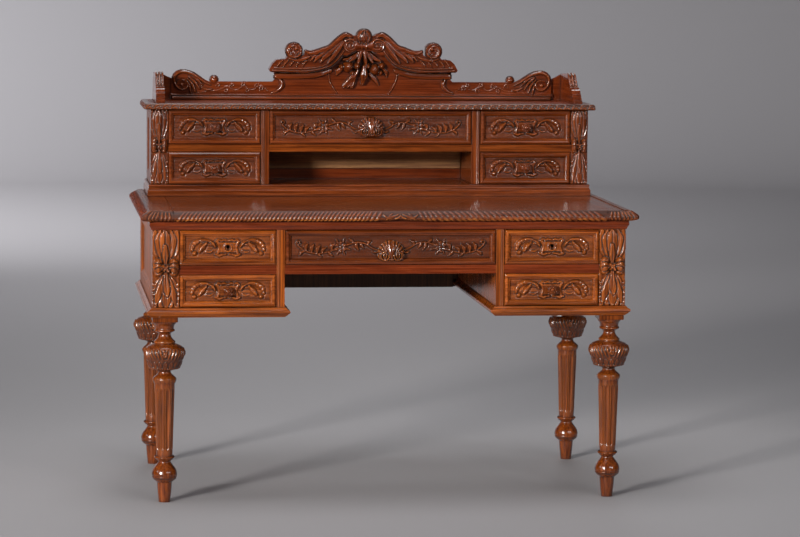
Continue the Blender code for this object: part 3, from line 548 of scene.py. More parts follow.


# The oak of each board by the start of its name; the first line that fits counts
# The back boards' dark oak also paints the shade in the kneehole
BOARD_OAKS = ((("frieze_rail", "middle_board", "hutch_cornice"), "red"),
              (("hutch_shelf",), "brown"), (("back_panel", "hutch_back"), "back"),
              (("gallery", "pediment"), "crest"),
              (("hutch", "top_", "writing", "drawer_centre"), "dark"))
UPRIGHT = ("carved_post", "hutch_post", "leg", "hutch_divider", "kneehole_side", "side_panel",
           "hutch_side", "back_panel", "hutch_back")
DEEP = ("top_end", "gallery_end")
FLANKS = ("side_panel", "hutch_side")
SAME_POINT, EDGE_ROUND, SHARP = 0.00002, 0.0007, math.radians(40)


class DESK_OT_boards(bpy.types.Operator):
    """Gives each plain board of the case and the hutch its oak"""
    bl_idname = "desk.boards"
    bl_label = "Boards and rails"

    def execute(self, context):
        for name, obj in nodes.items():
            kind = "raw" if name.endswith("_box") else next(
                (kind for starts, kind in BOARD_OAKS if name.startswith(starts)), "golden")
            axis = Z if name.startswith(UPRIGHT) else Y if name.startswith(DEEP) else X
            obj.data.materials.clear()
            obj.data.materials.append(
                once("aged_brass", aged_metal, "#b08a48", "#4a3218") if name.startswith("lock")
                else oak(kind, axis, WORN_FLANK if name.startswith(FLANKS) else None,
                         WAX_COAT if "drawer" in name else 0.0))
            obj.modifiers.new("joined_corners", 'WELD').merge_threshold = SAME_POINT
            edge = obj.modifiers.new("softened_edges", 'BEVEL')
            edge.width, edge.segments, edge.harden_normals = EDGE_ROUND, 2, True
            edge.limit_method, edge.angle_limit = 'ANGLE', SHARP
        return {'FINISHED'}


# Drawer fronts, in millimetres from the middle of the sunk field
FRAME = 16.6
FRONT_BEAD, FIELD_SINK = 0.006, 0.0045


def drawer_scrolls(relief, h):
    """C-scrolls with ball ends beside a strapwork plate."""
    relief.mirrored = True
    relief.slab((-26, -13), (26, 15), 4.4)
    relief.strokes(
        ([(2, 18), (10, 20.5), (18, 17.5)], [3, 4.4, 3], h * 0.7, 0, 0.6),
        ([(17, 18), (25, 20.5), (32, 16)], [3, 4, 2.6], h * 0.8, 0.3, 0.7),
        ([(27, 15), (23, 2), (26, -14)], [5, 3.6, 5], h * 0.8, 0.25, 0.8),
        ([(14, -18), (22, -20.5), (32, -17)], [3.6, 5.4, 3.6], h, 0, 0.9),
        ([(5, -17), (10, -18)], 3.2, h * 0.75, 0, 0.5),
        ([(34, 1), (42, 8), (52, 9), (60, 4)], [1.6, 3.6, 4.2, 2], h * 0.6, 0.3, 0.7),
        ([(38, -7), (47, -12), (58, -10)], [1.2, 3.4, 1.2], h * 0.45, 0, 0.5),
        ([(43, 14), (54, 19), (69, 20), (83, 14.5), (92, 5), (95, -6)],
         [2.6, 4.6, 6.4, 7.8, 7.8, 5.4], [h * 0.7, h, h, h * 1.05, h * 0.9, h * 0.8], 0.15, 1.2))
    for line in (((76, 25), (74, 14)), ((86, 21), (81, 10)), ((95, 13), (87, 4)),
                 ((101, 3), (90, -3))):
        relief.stroke(line, [0.8, 1.8], -2.4)
    relief.stroke([(47, 16), (60, 18.5), (74, 15), (85, 6), (87, -5)], 1.3, -1.6)
    relief.boss((88, -15), 7.0, h * 1.05, trench=1.2)
    relief.strokes(
        ([(75, -9), (68, 1), (57, 12)], [5.6, 8.8, 4.4], h * 1.2, 0, 1.3),
        ([(76, -4), (71, 5), (62, 12)], [0.8, 1.5, 0.8], -1.5),
        ([(33, 2), (39, 11), (48, 18)], [2.2, 5.4, 1.8], [h, h * 1.25, h], 0, 1.2))
    relief.mirrored = False


def garland(relief, h):
    """A waving stem with a flower cluster, leaves and a curled end, on both sides."""
    relief.mirrored = True
    relief.strokes(
        ([(36, -8), (52, -1), (70, 10), (92, 13), (112, 8), (134, -2), (160, -10), (190, -16),
         (214, -14), (234, -6), (247, 5), (251, 12)],
         [2.2, 3.2, 3.4, 3.8, 3.8, 3.2, 2.8, 2.8, 3, 3.4, 3.8, 2.6], h * 0.8, 0, 0.7),
        (spiral((246, 13), 6, 2.6, -20, 250, 6), 2.8, h * 1.1, 0, 0.8))
    for root, tip, width in (((62, 6), (52, 17), 4.0), ((80, 12), (72, -3), 4.6),
                             ((92, 13), (86, -8), 5.0), ((96, 11), (110, 23), 4.4),
                             ((158, -9), (150, 11), 4.8), ((166, -11), (154, -24), 4.0),
                             ((184, -15), (172, 0), 5.0), ((197, -16), (188, 6), 5.6),
                             ((211, -14), (205, 9), 5.8), ((226, -10), (221, 11), 5.2),
                             ((192, -16), (184, -26), 3.6), ((228, -9), (243, -21), 4.2)):
        middle = ((root[0] + tip[0]) / 2 + 3.4, (root[1] + tip[1]) / 2 + 1.8)
        relief.stroke([root, middle, tip], [2.2, width * 1.25, 1.2], h * 1.1, 0.3, 1.3)
    for angle in range(20, 380, 45):
        way = (math.cos(math.radians(angle)), math.sin(math.radians(angle)))
        relief.stroke([(134 + 8 * way[0], 1 + 7 * way[1]), (134 + 27 * way[0], 1 + 21 * way[1])],
                      [5.4, 2], h * 0.85, 0.35, 1.2)
    relief.rosette((134, 1), 16, h * 1.3, petals=6)
    relief.stroke([(30, -10), (42, -14), (50, -11)], [3.4, 3.8, 1], h * 1.1, 0, 0.8)
    relief.mirrored = False


def lock_boss(relief):
    """Turns the round boss of a lock, and gives the points outside its keyhole."""
    ring, half_width, height, plate = 10.2, 3.2, 6.6, 3.2
    eye, eye_up, slot, slot_down = 3.9, 2.0, 1.7, 7.2
    u, v = relief.u - relief.origin[0], relief.v - relief.origin[1]
    away = np.hypot(u, v)
    relief.h = np.where(away < 13, plate, relief.h)
    rounded = np.sqrt(np.clip(1 - ((away - ring) / half_width) ** 2, 0, 1))
    relief.h = np.maximum(relief.h, height * rounded)
    relief.carved |= away < ring + half_width
    return ~((np.hypot(u, v - eye_up) < eye)
             | ((np.abs(u) < slot) & (v > -slot_down) & (v < eye_up)))


class DESK_OT_drawer_carving(bpy.types.Operator):
    """Carves the sunk field of each drawer, and sets black iron plates behind the keyholes as
    painted shade in the holes
    """
    bl_idname = "desk.drawer_carving"
    bl_label = "Drawer carving"

    def execute(self, context):
        sizes = context.scene.desk_carving
        rows = [(row + side, row + side + tail) for row, tail in (
            ("drawer_upper_", "_front"), ("drawer_lower_", "_front"),
            ("hutch_drawer_upper_", ""), ("hutch_drawer_lower_", "")) for side, sign in SIDES]
        rows += [("drawer_centre", "drawer_centre_front"), ("hutch_drawer_centre",) * 2]
        for seed, (body, front) in enumerate(rows):
            low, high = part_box(front)
            length, height = ((high[i] - low[i]) / MM - 2 * FRAME for i in (X, Z))
            field_y = low.y + FRONT_BEAD + FIELD_SINK
            relief = Relief(length, height, sizes.step / MM, ground=0.5, seed=seed)
            wide = body.endswith("centre")
            (garland if wide else drawer_scrolls)(relief, sizes.drawer_relief / MM)
            keep = None
            if body.startswith("drawer_upper"):
                keep = lock_boss(relief)
                # Painted shade: a black iron plate sits behind the keyhole so that the hole shows
                # dark
                x, y, z = centre_of(low, high)
                name = body.replace("drawer_", "lock_case_")
                piece(name, plank(name, (x - 0.006, field_y - 0.0009, z - 0.009),
                                  (x + 0.006, field_y + 0.0002, z + 0.008), 0.0003),
                      once("blackened_iron", aged_metal, "#0d0b0a", "#050403"), body, "brass")
            relief.finish(matting=0.9)
            carving(body + "_carving", relief,
                    facing_front(low.x + FRAME * MM, field_y, low.z + FRAME * MM),
                    "dark" if wide or body.startswith("hutch") else "golden", X, body, keep=keep)
        return {'FINISHED'}


# Knobs, as (radius, distance from the drawer front) in mm, and how far they stand out
KNOB_REACH = 26.3
knob_profile = [(9.0, 0), (8.2, 2.2), (6.0, 5.4), (5.8, 8.5), (7.0, 11.5), (12.0, 13.8),
    (13.6, 15.6), (13.8, 17.4), (13.0, 19.4), (11.9, 20.2), (11.0, 19.2), (10.2, 19.2), (9.6, 21.4),
    (8.7, 22.9), (7.6, 23.2), (6.6, 21.9), (5.9, 21.5), (5.2, 22.9), (4.0, 25.0), (2.4, 25.9),
    (0.05, 26.2)]


class DESK_OT_pulls(bpy.types.Operator):
    """Turns the knobs and carves the two shell pulls"""
    bl_idname = "desk.pulls"
    bl_label = "Knobs and shells"

    def execute(self, context):
        for node in nodes:
            if "knob" not in node:
                continue
            low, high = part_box(node)
            body = node.replace("hutch_knob", "hutch_drawer").replace("knob_", "drawer_")
            x, y, z = centre_of(low, high)
            at = (Matrix.Translation((x, low.y + KNOB_REACH * MM, z))
                  @ Matrix.Rotation(math.radians(90), 4, 'X'))
            oak_piece(node + "_turned", lathe(node + "_turned", knob_profile, 48, 0.5),
                      "dark" if node.startswith("hutch") else "brown", X, body, node=(node,), at=at)
        for node, body, kind in (("shell_pull_centre", "drawer_centre", "brown"),
                                 ("hutch_shell_pull_centre", "hutch_drawer_centre", "dark")):
            low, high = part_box(node)
            at = Matrix.Translation(((low.x + high.x) / 2, high.y, low.z + 0.002))
            oak_piece(node + "_carved", shell_mesh(node + "_carved"), kind, Z, body, node=(node,),
                      at=at)
        return {'FINISHED'}


def shell_relief():
    """The front of a shell pull: a fluted crown over a smooth tongue and two curled lobes."""
    relief = Relief(84, 60, 0.9, ground=-1.0, origin=(42, 2), seed=51)
    relief.mirrored = True
    for angle in (16, 34, 51, 67, 82):
        way = np.array((math.cos(math.radians(angle)), math.sin(math.radians(angle))))
        start, end = np.array((3, 16)) + 15 * way, np.array((1, 17)) + way * (33.5, 36.0)
        relief.stroke([tuple(start), tuple((start + end) / 2), tuple(end)], [2.4, 4, 4.8],
                      [1.5, 3, 4.4], 0, 1.8)
    relief.strokes(
        (spiral((17.5, 13.5), 11.5, 10.5, 100, -200, 16), [2.2, 3, 3.2, 2.4], 5.2, 0, 1.4),
        ([(14, 22), (13.5, 14), (17, 7)], [1.2, 2, 1.2], 3.6),
        ([(20.5, 22), (21, 14), (19, 7)], [1.2, 2, 1.2], 3.6),
        ([(30, 22), (34, 13), (28, 4)], [1.4, 2.6, 1.4], 4, 0, 1))
    relief.mirrored = False
    relief.stroke([(0, 47), (0, 34), (0, 20), (0, 10)], [9.5, 10.5, 7, 4.6], [1.5, 3.4, 4, 4.2], 0,
                  1.6)
    for u in (-4.6, 0, 4.6):
        relief.boss((u, 4.5), 3.0, 4.6, trench=0.8)
    relief.carved[:] = True
    relief.finish()
    return relief


def shell_mesh(name):
    """The shell pull: its carved front, turned in under its lip to a hollow for the fingers."""
    relief = shell_relief()
    u, v = relief.u - relief.origin[0], relief.v - relief.origin[1]
    half_width, waist, rise, fall, depth, wall = 37.2, 16, 41.0, 20.0, 21.0, 5.0
    tall = (v - waist) / np.where(v > waist, rise, fall)
    dome = np.sqrt(np.clip(1 - (u / half_width) ** 2 - tall ** 2, 0, 1))
    inside = dome > 0
    bowl = depth * dome ** 0.8
    outer = np.where(inside, bowl + relief.h * np.clip(3 * dome, 0, 1), -1.0)
    inner = np.where(inside, np.maximum(bowl - wall, -1.0), -1.0)
    points = np.concatenate([np.stack((u, -sheet, v), -1)[::way] * MM
                             for sheet, way in ((outer, -1), (inner, 1))])
    # Painted shade: the hollow under the shell is darkened all over
    tone = np.concatenate((relief.tone()[::-1], np.full(u.shape, -0.7)))
    keep = blurred(inside.astype(float), 1) > 0
    return grid_mesh(name, points, tone, keep=np.concatenate((keep[::-1], keep)))


class DESK_OT_stiles(bpy.types.Operator):
    """Runs two beads down each stile beside the drawers"""
    bl_idname = "desk.stiles"
    bl_label = "Beaded stiles"

    def execute(self, context):
        step = context.scene.desk_carving.step / MM
        for prefix, kind in (("kneehole_side_", "golden"), ("hutch_divider_", "dark")):
            for side, sign in SIDES:
                low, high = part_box(prefix + side)
                length, height = (high.x - low.x) / MM, (high.z - low.z) / MM
                relief = Relief(length, height, step, ground=0.3, origin=(0, 0), seed=61)
                for u in (2.6, 6.6):
                    u = u if sign < 0 else length - u
                    relief.stroke([(u, 1), (u, height - 1)], 1.7, 1.6)
                relief.carved[:] = True
                relief.finish(soften=0)
                carving(prefix + side + "_beads", relief, facing_front(low.x, low.y, low.z), kind,
                        Z)
        return {'FINISHED'}


class DESK_OT_back_boards(bpy.types.Operator):
    """Boards up the back, and the two boards across the back of the hutch's niche, the upper one
    paler as painted light in the dim niche
    """
    bl_idname = "desk.back_boards"
    bl_label = "Back boards"

    def execute(self, context):
        count, gap, proud, thick, short = 8, 0.0016, 0.0014, 0.003, 0.0005
        for node, label in (("back_panel", "back_board"), ("hutch_back", "hutch_back_board")):
            low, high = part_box(node)
            pitch = (high.x - low.x) / count
            for i in range(count):
                left = low.x + i * pitch
                name = "%s_%d" % (label, i + 1)
                oak_piece(name, plank(name, (left + gap / 2, high.y + proud - thick, low.z + short),
                                      (left + pitch - gap / 2, high.y + proud, high.z - short)),
                          "back", Z)
        left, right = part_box("hutch_divider_left")[1].x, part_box("hutch_divider_right")[0].x
        base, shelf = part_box("hutch_back")[0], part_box("hutch_shelf")[0].z
        # Painted light: the upper niche board is pale raw oak so that it shows lit in the dim niche
        for name, kind, thick, bottom, top, bevel in (
                ("niche_board", "raw", 0.010, shelf - 0.061, shelf + 0.001, 0.002),
                ("niche_back", "crest", 0.006, base.z, shelf - 0.062, 0.001)):
            oak_piece(name, plank(name, (left, base.y - thick, bottom),
                                  (right, base.y + 0.001, top), bevel), kind, X)
        return {'FINISHED'}


def post_bouquet(relief, width, height, deep):
    """Upright leaves over a ribbon bow over hanging leaves."""
    # The leaves are drawn for a post of 70.5 by 206 mm
    w, h = width / 70.5, height / 206.0

    def leaf(line, widths, tops, vein=0.0, trench=1.6, flat=0.5, crown=1.25):
        tops = [deep * top for top in np.atleast_1d(tops)]
        relief.leaf([(u * w, v * h) for u, v in line], [x * w for x in widths], tops, vein,
                    w * trench, flat, crown)
        # A long leaf that stands high has a fold on both sides of its middle
        if len(line) > 2 and min(tops) > 0.55 * deep and abs(line[-1][1]) > 30:
            for side in (-0.5, 0.5):
                fold = [((u + side * x) * w, v * h) for (u, v), x in zip(line[1:], widths[1:])]
                relief.stroke(fold, [0.5, 1.3, 0.5][:len(line) - 1], -0.2 * deep)

    relief.mirrored = True
    leaf([(15, 20), (25, 45), (29, 70), (28, 97)], [4, 9.5, 10.5, 5], 0.62, 0.35, 1.2)
    leaf([(7, 18), (14, 46), (18, 74), (14, 99)], [4, 9.5, 10.5, 3.6], [0.7, 0.9, 1.1, 0.9], 0.30,
         1.8)
    leaf([(12, -20), (22, -46), (29, -74), (30, -99)], [4, 9.5, 10.5, 8], 0.62, 0.35, 1.2)
    for v in (-44, -57, -70, -83, -95):
        leaf([(33, v), (36, v + 1)], [5.6, 6.2], 0.62, 0, 1.2)
    leaf([(5, -26), (10, -60), (12, -98)], [4, 8.6, 8], 0.72, 0.25, 1.6)
    leaf([(4, -16), (11, -42), (20, -70), (25, -94)], [3.6, 8, 9, 3.6], [0.8, 1, 1.1, 0.8], 0.30,
         1.8)
    relief.mirrored = False
    leaf([(-1, 14), (-1, 56), (-1, 82), (-2, 100)], [5, 13, 13.5, 4], [0.8, 1.05, 1.3, 0.95], 0.42,
         2.2)
    leaf([(-1, 10), (-1, 34), (-1, 59)], [4.6, 9, 5], [1, 1.4, 1.75], 0.3, 1.6)
    leaf([(1, -12), (1, -48), (2, -84), (1, -100)], [4.6, 10.5, 11, 6], 0.98, 0.30, 2.2)
    leaf([(0, -10), (1, -36), (3, -58), (4, -72)], [4.4, 7.6, 8.6, 4], [0.9, 1.2, 1.45, 1.5], 0.3,
         2.2)
    leaf([(-14, 1), (0, 2), (14, 1)], [11, 10, 11], 1.15, 0, 0, 0.6)
    relief.mirrored = True
    leaf([(20.5, 15), (21.5, 3), (20, -10)], [12.5, 14, 12], [1.80, 1.95, 1.70], 0, 2.6, 0.2, 1.8)
    leaf([(3, 1), (12, 4), (18, 3)], [4, 7, 9], [1.3, 1.55, 1.7], 0, 0, 0.2, 1.8)
    for line in ([(5, 7), (14, 13), (24, 15), (31, 13)], [(7, 2.5), (16, 3.5), (25, 2), (31, -3)],
                 [(6, -3), (13, -9), (20, -12), (28, -12)]):
        leaf(line, [1.2, 2.2, 2, 1], -0.5, 0, 0, 0, 2)
    relief.mirrored = False
    leaf([(5, 6), (0, 1), (-5, -6)], [3.4, 4.6, 3.2], 2, 0, 1.8)
    leaf([(-6, 6), (0, 1), (6, -7)], [4, 5.2, 4], 2.15, 0.15, 1.2)


class DESK_OT_posts(bpy.types.Operator):
    """Carves the four front posts"""
    bl_idname = "desk.posts"
    bl_label = "Carved posts"

    def execute(self, context):
        sizes = context.scene.desk_carving
        for prefix, kind, share in (("carved_post_front_", "golden", 1.0),
                                    ("hutch_post_", "dark", 0.78)):
            low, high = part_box(prefix + "left")
            length, height = (high.x - low.x) / MM, (high.z - low.z) / MM
            relief = Relief(length, height, sizes.step / MM, seed=21,
                            origin=(length / 2, height / 2 + 2))
            post_bouquet(relief, length, height, share * sizes.post_relief / MM)
            relief.finish(matting=0.3)
            for side, sign in SIDES:
                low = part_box(prefix + side)[0]
                carving(prefix + side + "_carving", relief,
                        facing_front(low.x, low.y - 0.0002, low.z), kind, Z)
        return {'FINISHED'}


# Legs, as shares of LEG_RADIUS and LEG_HEIGHT from the abacus down, in mm
LEG_HEIGHT, LEG_RADIUS, ABACUS, ABACUS_THICK = 497.0, 54.5, 67.0, 13.0
ROUND = 360      # the unrolled leg's width in mm, once round it
leg_profile = [(.60, .973), (.56, .964), (.48, .952), (.45, .936), (.49, .929), (.49, .922),
    (.36, .914), (.30, .906), (.31, .896), (.36, .885), (.45, .874), (.52, .867), (.525, .860),
    (.50, .856), (.62, .851), (.80, .843), (.90, .833), (.945, .820), (.95, .806), (.93, .790),
    (.885, .768), (.83, .748), (.77, .734), (.71, .722), (.50, .715), (.32, .707), (.34, .693),
    (.46, .681), (.57, .669), (.575, .655), (.53, .643), (.50, .632), (.40, .261), (.47, .249),
    (.50, .242), (.44, .2355), (.34, .225), (.31, .216), (.42, .199), (.56, .177), (.615, .158),
    (.618, .146), (.600, .143), (.605, .140), (.600, .134), (.52, .121), (.40, .110), (.365, .101),
    (.345, .070), (.28, 0)]


def leg_relief():
    """Flutes, slanted nulling and leaf tips on the unrolled leg."""
    relief = Relief(ROUND, 480, 1.2, origin=(0, 0))
    # The last column is the first one again
    relief.us = relief.us[:-1]
    for field in ("u", "v", "h", "wear", "carved"):
        setattr(relief, field, getattr(relief, field)[:, :-1])
    stave, nulls = 36.0, 32
    for i in range(11):
        middle = stave * i
        relief.strokes(
            ([(middle - 18, 150), (middle - 18, 296)], 11, -2.8, 0, 0, 0.2),
            ([(middle, 146), (middle, 304)], 3.4, -1.8, 0, 0, 0.2))
    for i in range(-1, nulls + 1):
        u = ROUND / nulls * i
        slant = 5 if 0 <= u < 180 else -5
        relief.stroke([(u - slant, 385), (u - 0.2 * slant, 396), (u + 0.6 * slant, 405),
                      (u + slant, 413)], [1.6, 4.2, 4.8, 3], [1.4, 2.6, 3, 1.8], 0, 0.8)
    for i in range(19):
        u = 20.0 * i
        relief.stroke([(u, 378), (u, 370), (u, 361)], [3.6, 8.2, 5.4], [0.8, 1.6, 1.4], 0.5, 1.2)
        relief.boss((u + 10, 361), 3.4, 1.6, trench=0.4)
    for u in (0, 90, 180, 270, 360):
        relief.boss((u, 399), 9.0, 3.4, trench=1.2)
        relief.stroke(spiral((u, 399), 6.5, 2, 90, 500, 12), 1.6, 4.8)
    relief.carved[:] = True
    # Hands and cloths wear the staves and the ring above them; the lower half of the bulb and a
    # thin band under the foot's ring are darkened as painted shade
    relief.wear += 0.36 * (((relief.v > 128) & (relief.v < 338)) | (np.abs(relief.v - 430) < 7))
    relief.wear -= 0.30 * ((relief.v > 350) & (relief.v < 392)) + 0.5 * (np.abs(relief.v - 66) < 3)
    relief.finish()
    return relief


class DESK_OT_legs(bpy.types.Operator):
    """Turns and carves the four legs"""
    bl_idname = "desk.legs"
    bl_label = "Turned legs"

    def execute(self, context):
        relief = leg_relief()
        profile = [(r * LEG_RADIUS, z * LEG_HEIGHT) for r, z in leg_profile]
        rows = curve_through(profile, 0.6)[0][::-1]
        level = np.clip(np.searchsorted(relief.vs, rows[:, 1]), 0, len(relief.vs) - 1)
        around = relief.us / ROUND * math.tau - math.pi / 2
        radius = rows[:, :1] + relief.h[level]
        points = np.stack((radius * np.cos(around), radius * np.sin(around),
                           np.repeat(rows[:, 1:], len(around), 1)), -1) * MM
        # The turning's crests are rubbed paler and its hollows darkened as painted shade, fully so
        # at a bend of 1.2 mm
        bend = np.clip((rows[:, :1] - blurred(rows[:, :1], 4)) / 1.2, -1, 1)
        tone = np.clip(relief.tone()[level] + 0.8 * bend, -1, 1)
        mesh = grid_mesh("turned_leg", points, tone, round_u=True)
        with edited(mesh) as bm:
            fill_ends(bm)
            half, top = ABACUS / 2 * MM, LEG_HEIGHT * MM
            block(bm, (-half, -half, top - ABACUS_THICK * MM), (half, half, top), SOFT_EDGE)
            bmesh.ops.recalc_face_normals(bm, faces=bm.faces)
        for place in ("front_left", "front_right", "rear_left", "rear_right"):
            node = "leg_" + place
            oak_piece("turned_" + node, mesh.copy(), "brown", Z, node=(node,),
                      at=Matrix.Translation(centre_of(*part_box(node), 0)))
        return {'FINISHED'}


# Mouldings, as (share of the projection, share of the height) from the lower edge up
nosing = [(.34, 0), (.84, .10), (1, .20), (1, .42), (.80, .60), (.48, .78), (.18, .92), (0, 1)]
cornice = [(.84, 0), (1, .12), (.99, .34), (.94, .60), (.88, .82), (.78, .96), (.66, 1), (.10, 1)]
TOP_THICK, TOP_FRONT, TOP_SIDE = 25.0, 12.0, 22.0
CORNICE_THICK, CORNICE_OUT = 16.5, 18.0
LEAVES_UP = 0.6     # share of the cornice's profile that the leaves cover


def sized(profile, out, up):
    return [(x * out, z * up) for x, z in profile]


def flank_strip(profile, out, mitre, sign, side_x, flat_y, low, high):
    """Places a strip on a side's moulding that stands out by out and is mitred into the front's.
    Gives the profile's length and the strip's depth too."""
    depth = (high.y - flat_y) / MM + out * mitre / 2

    def set_down(u, out, up):
        nose = flat_y - out * MM * mitre
        share = u / depth if sign > 0 else 1 - u / depth
        return sign * (side_x + out * MM), nose + (high.y - nose) * share, low.z + up * MM
    return *along_profile(profile, set_down), depth


def gadroons(relief, start, end, pitch, lean, run, height):
    """Slanted lobes across a moulding, spaced by hand."""
    for i in range(round((end - start) / pitch)):
        u = start + (i + 0.5) * pitch
        jitter = relief.noise.normal(0, 0.05 * pitch)
        relief.stroke([(u - lean, 0.5), (u + jitter, 0.45 * run), (u + lean, run - 5)],
                      [0.40 * pitch, 0.42 * pitch, 0.24 * pitch], [height, height, 0.4 * height])


def worn_lip(relief, reach, amount):
    """Bare, chipped wood along the lower edge, and old wax above it."""
    chip_depth, chip_height, old_wax = 1.1, 5, 0.22
    chips = blurred(relief.noise.random(relief.h.shape), 6)
    chips = (chips - chips.mean()) / max(chips.std(), 1e-6)
    lip = np.clip(1 - relief.v / reach, 0, 1)
    relief.wear += amount * lip * (1 + 0.35 * chips) - old_wax * (1 - lip)
    chipped = np.clip(chips - 0.6, 0, 2) * np.clip(1 - relief.v / chip_height, 0, 1)
    relief.h -= chip_depth * chipped


def corner_leaf(relief, at, run, way):
    """A leaf folded round a corner of the top."""
    relief.stroke([(at, run * 0.9), (at, 2)], [3, 7], 3, 0.4, 0.6)
    for i in range(3):
        u = at + way * (9 + 8 * i)
        relief.stroke([(u, run * 0.85), (u + way * 3, run * 0.5), (u - way * 2, 3)], [2, 3.8, 2.4],
                      2.6, 0.3, 0.6)


class DESK_OT_top_edges(bpy.types.Operator):
    """Carves the gadrooned edge of the writing top and of its two fixed ends"""
    bl_idname = "desk.top_edges"
    bl_label = "Top edges"

    def execute(self, context):
        sizes = context.scene.desk_carving
        height, step = sizes.edge_relief / MM, sizes.step / MM
        low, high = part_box("writing_slide")
        floor, flat_y = low.z, low.y + TOP_FRONT * MM
        place, run = along_profile(sized(nosing, TOP_FRONT, TOP_THICK), lambda u, out, up: (
            low.x + u * MM, flat_y - out * MM, floor + up * MM))
        length = (high.x - low.x) / MM
        # The lobes change their slant a little right of the slide's middle
        turn = length / 2 + 22
        relief = Relief(length, run, step, ground=0.3, origin=(0, 0), seed=5)
        gadroons(relief, 22, turn - 92, 10.8, 9, run, height)
        gadroons(relief, turn + 92, length - 22, 15.6, -13, run, height * 1.1)
        relief.origin, relief.mirrored = (turn, 0), True
        gadroons(relief, 52, 92, 13.3, -8, run, height)
        relief.strokes(
            ([(46, 20), (34, 12), (18, 16), (6, 21)], [2, 4, 4, 2], height * 1.3, 0.3, 0.5),
            ([(38, 6), (28, 18), (22, 24)], [2, 3.4, 1.6], height, 0.3),
            ([(14, 10), (6, 13), (0, 18)], [2.4, 3.6, 3], height * 1.2, 0, 0.5))
        relief.mirrored = False
        notch = np.hypot((relief.u - turn) / 26, relief.v / 7.5)
        relief.finish()
        worn_lip(relief, 14, 1.35)
        carving("writing_slide_edge", relief, place, "dark", X, "writing_slide", WORN_EDGE,
                keep=notch > 1.0)
        for side, sign in SIDES:
            self.end(side, sign, flat_y, height, step)
        return {'FINISHED'}

    def end(self, side, sign, flat_y, height, step):
        low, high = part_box("top_end_" + side)
        outer = max(abs(low.x), abs(high.x)) - TOP_SIDE * MM
        inner = min(abs(low.x), abs(high.x))
        length = (outer - inner) / MM + TOP_SIDE / 2

        def front(u, out, up):
            reach = outer + out * MM * TOP_SIDE / TOP_FRONT
            share = u / length if sign > 0 else 1 - u / length
            return sign * (inner + (reach - inner) * share), flat_y - out * MM, low.z + up * MM
        place, run = along_profile(sized(nosing, TOP_FRONT, TOP_THICK), front)
        relief = Relief(length, run, step, ground=0.3, origin=(0, 0), seed=7)
        corner_leaf(relief, length - 8 if sign > 0 else 8, run, -sign)
        for i in range(3):
            u = length / 2 - sign * (6 + 9 * i)
            relief.stroke([(u, run * 0.8), (u - sign * 4, run * 0.4), (u + sign * 2, 3)],
                          [2.2, 3.6, 2.2], height * 1.2, 0.3, 0.5)
        relief.finish()
        worn_lip(relief, 8, 0.6)
        carving("top_end_%s_front_edge" % side, relief, place, "dark", X, worn=WORN_EDGE)
        place, run, depth = flank_strip(sized(nosing, TOP_SIDE, TOP_THICK), TOP_SIDE,
                                        TOP_FRONT / TOP_SIDE, sign, outer, flat_y, low, high)
        relief = Relief(depth, run, step, ground=0.3, origin=(0, 0), seed=9)
        start, end = (38, depth) if sign > 0 else (0, depth - 38)
        gadroons(relief, start, end, 11.0, 0, run, height * 0.9)
        corner_leaf(relief, 8 if sign > 0 else depth - 8, run, sign)
        relief.finish()
        worn_lip(relief, 5, 0.3)
        carving("top_end_%s_side_edge" % side, relief, place, "red", Y)


def leaf_moulding(relief, length, run):
    """A run of small folded leaves."""
    pitch = length / round(length / 23)
    for i in range(round(length / pitch)):
        u = (i + 0.5) * pitch
        relief.strokes(
            ([(u - 7, run * 0.25), (u - 2, run * 0.72), (u + 4, run * 0.80)], [2.2, 3.2, 1.6], 1.9,
             0.3, 0.5),
            ([(u + 8, run * 0.22), (u + 3, run * 0.45), (u - 1, run * 0.30)], [2.6, 2.8, 1.4], 1.7,
             0.3, 0.5))
        relief.boss((u + 10.5, run * 0.62), 1.8, 1.4)


class DESK_OT_cornice_edges(bpy.types.Operator):
    """Carves the leaf moulding round the hutch's cornice"""
    bl_idname = "desk.cornice_edges"
    bl_label = "Cornice leaves"

    def execute(self, context):
        step = context.scene.desk_carving.step / MM
        low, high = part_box("hutch_cornice")
        side_x, flat_y = high.x - CORNICE_OUT * MM, low.y + CORNICE_OUT * MM
        profile = sized(cornice, CORNICE_OUT, CORNICE_THICK)
        width = 2 * side_x / MM + CORNICE_OUT
        place, run = along_profile(profile, lambda u, out, up: (
            (-1 + 2 * u / width) * (side_x + out * MM), flat_y - out * MM, low.z + up * MM))
        relief = Relief(width, run, step, ground=0.2, origin=(0, 0), seed=11)
        leaf_moulding(relief, width, LEAVES_UP * run)
        # Painted sheen: the top of the moulding is made paler, as if catching the light
        relief.wear += 0.8 * (relief.v > 0.68 * run)
        relief.finish()
        worn_lip(relief, 4, 0.35)
        carving("cornice_front_leaves", relief, place, "brown", X)
        for side, sign in SIDES:
            place, run, depth = flank_strip(profile, CORNICE_OUT, 1, sign, side_x, flat_y, low,
                                            high)
            relief = Relief(depth, run, step, ground=0.2, origin=(0, 0), seed=12)
            leaf_moulding(relief, depth, LEAVES_UP * run)
            relief.finish()
            carving("cornice_%s_leaves" % side, relief, place, "dark", Y)
        return {'FINISHED'}


# The crest, in millimetres from the middle of the cornice's top
CREST_BOARD, PEDIMENT = 20.0, 24.0
INNER, OUTER, HUMP = (38.8, 157.2), (199.8, 140.4), (517.0, 42.5)
BALL, FINIAL = (0, 181.4), (425.3, 57.5)


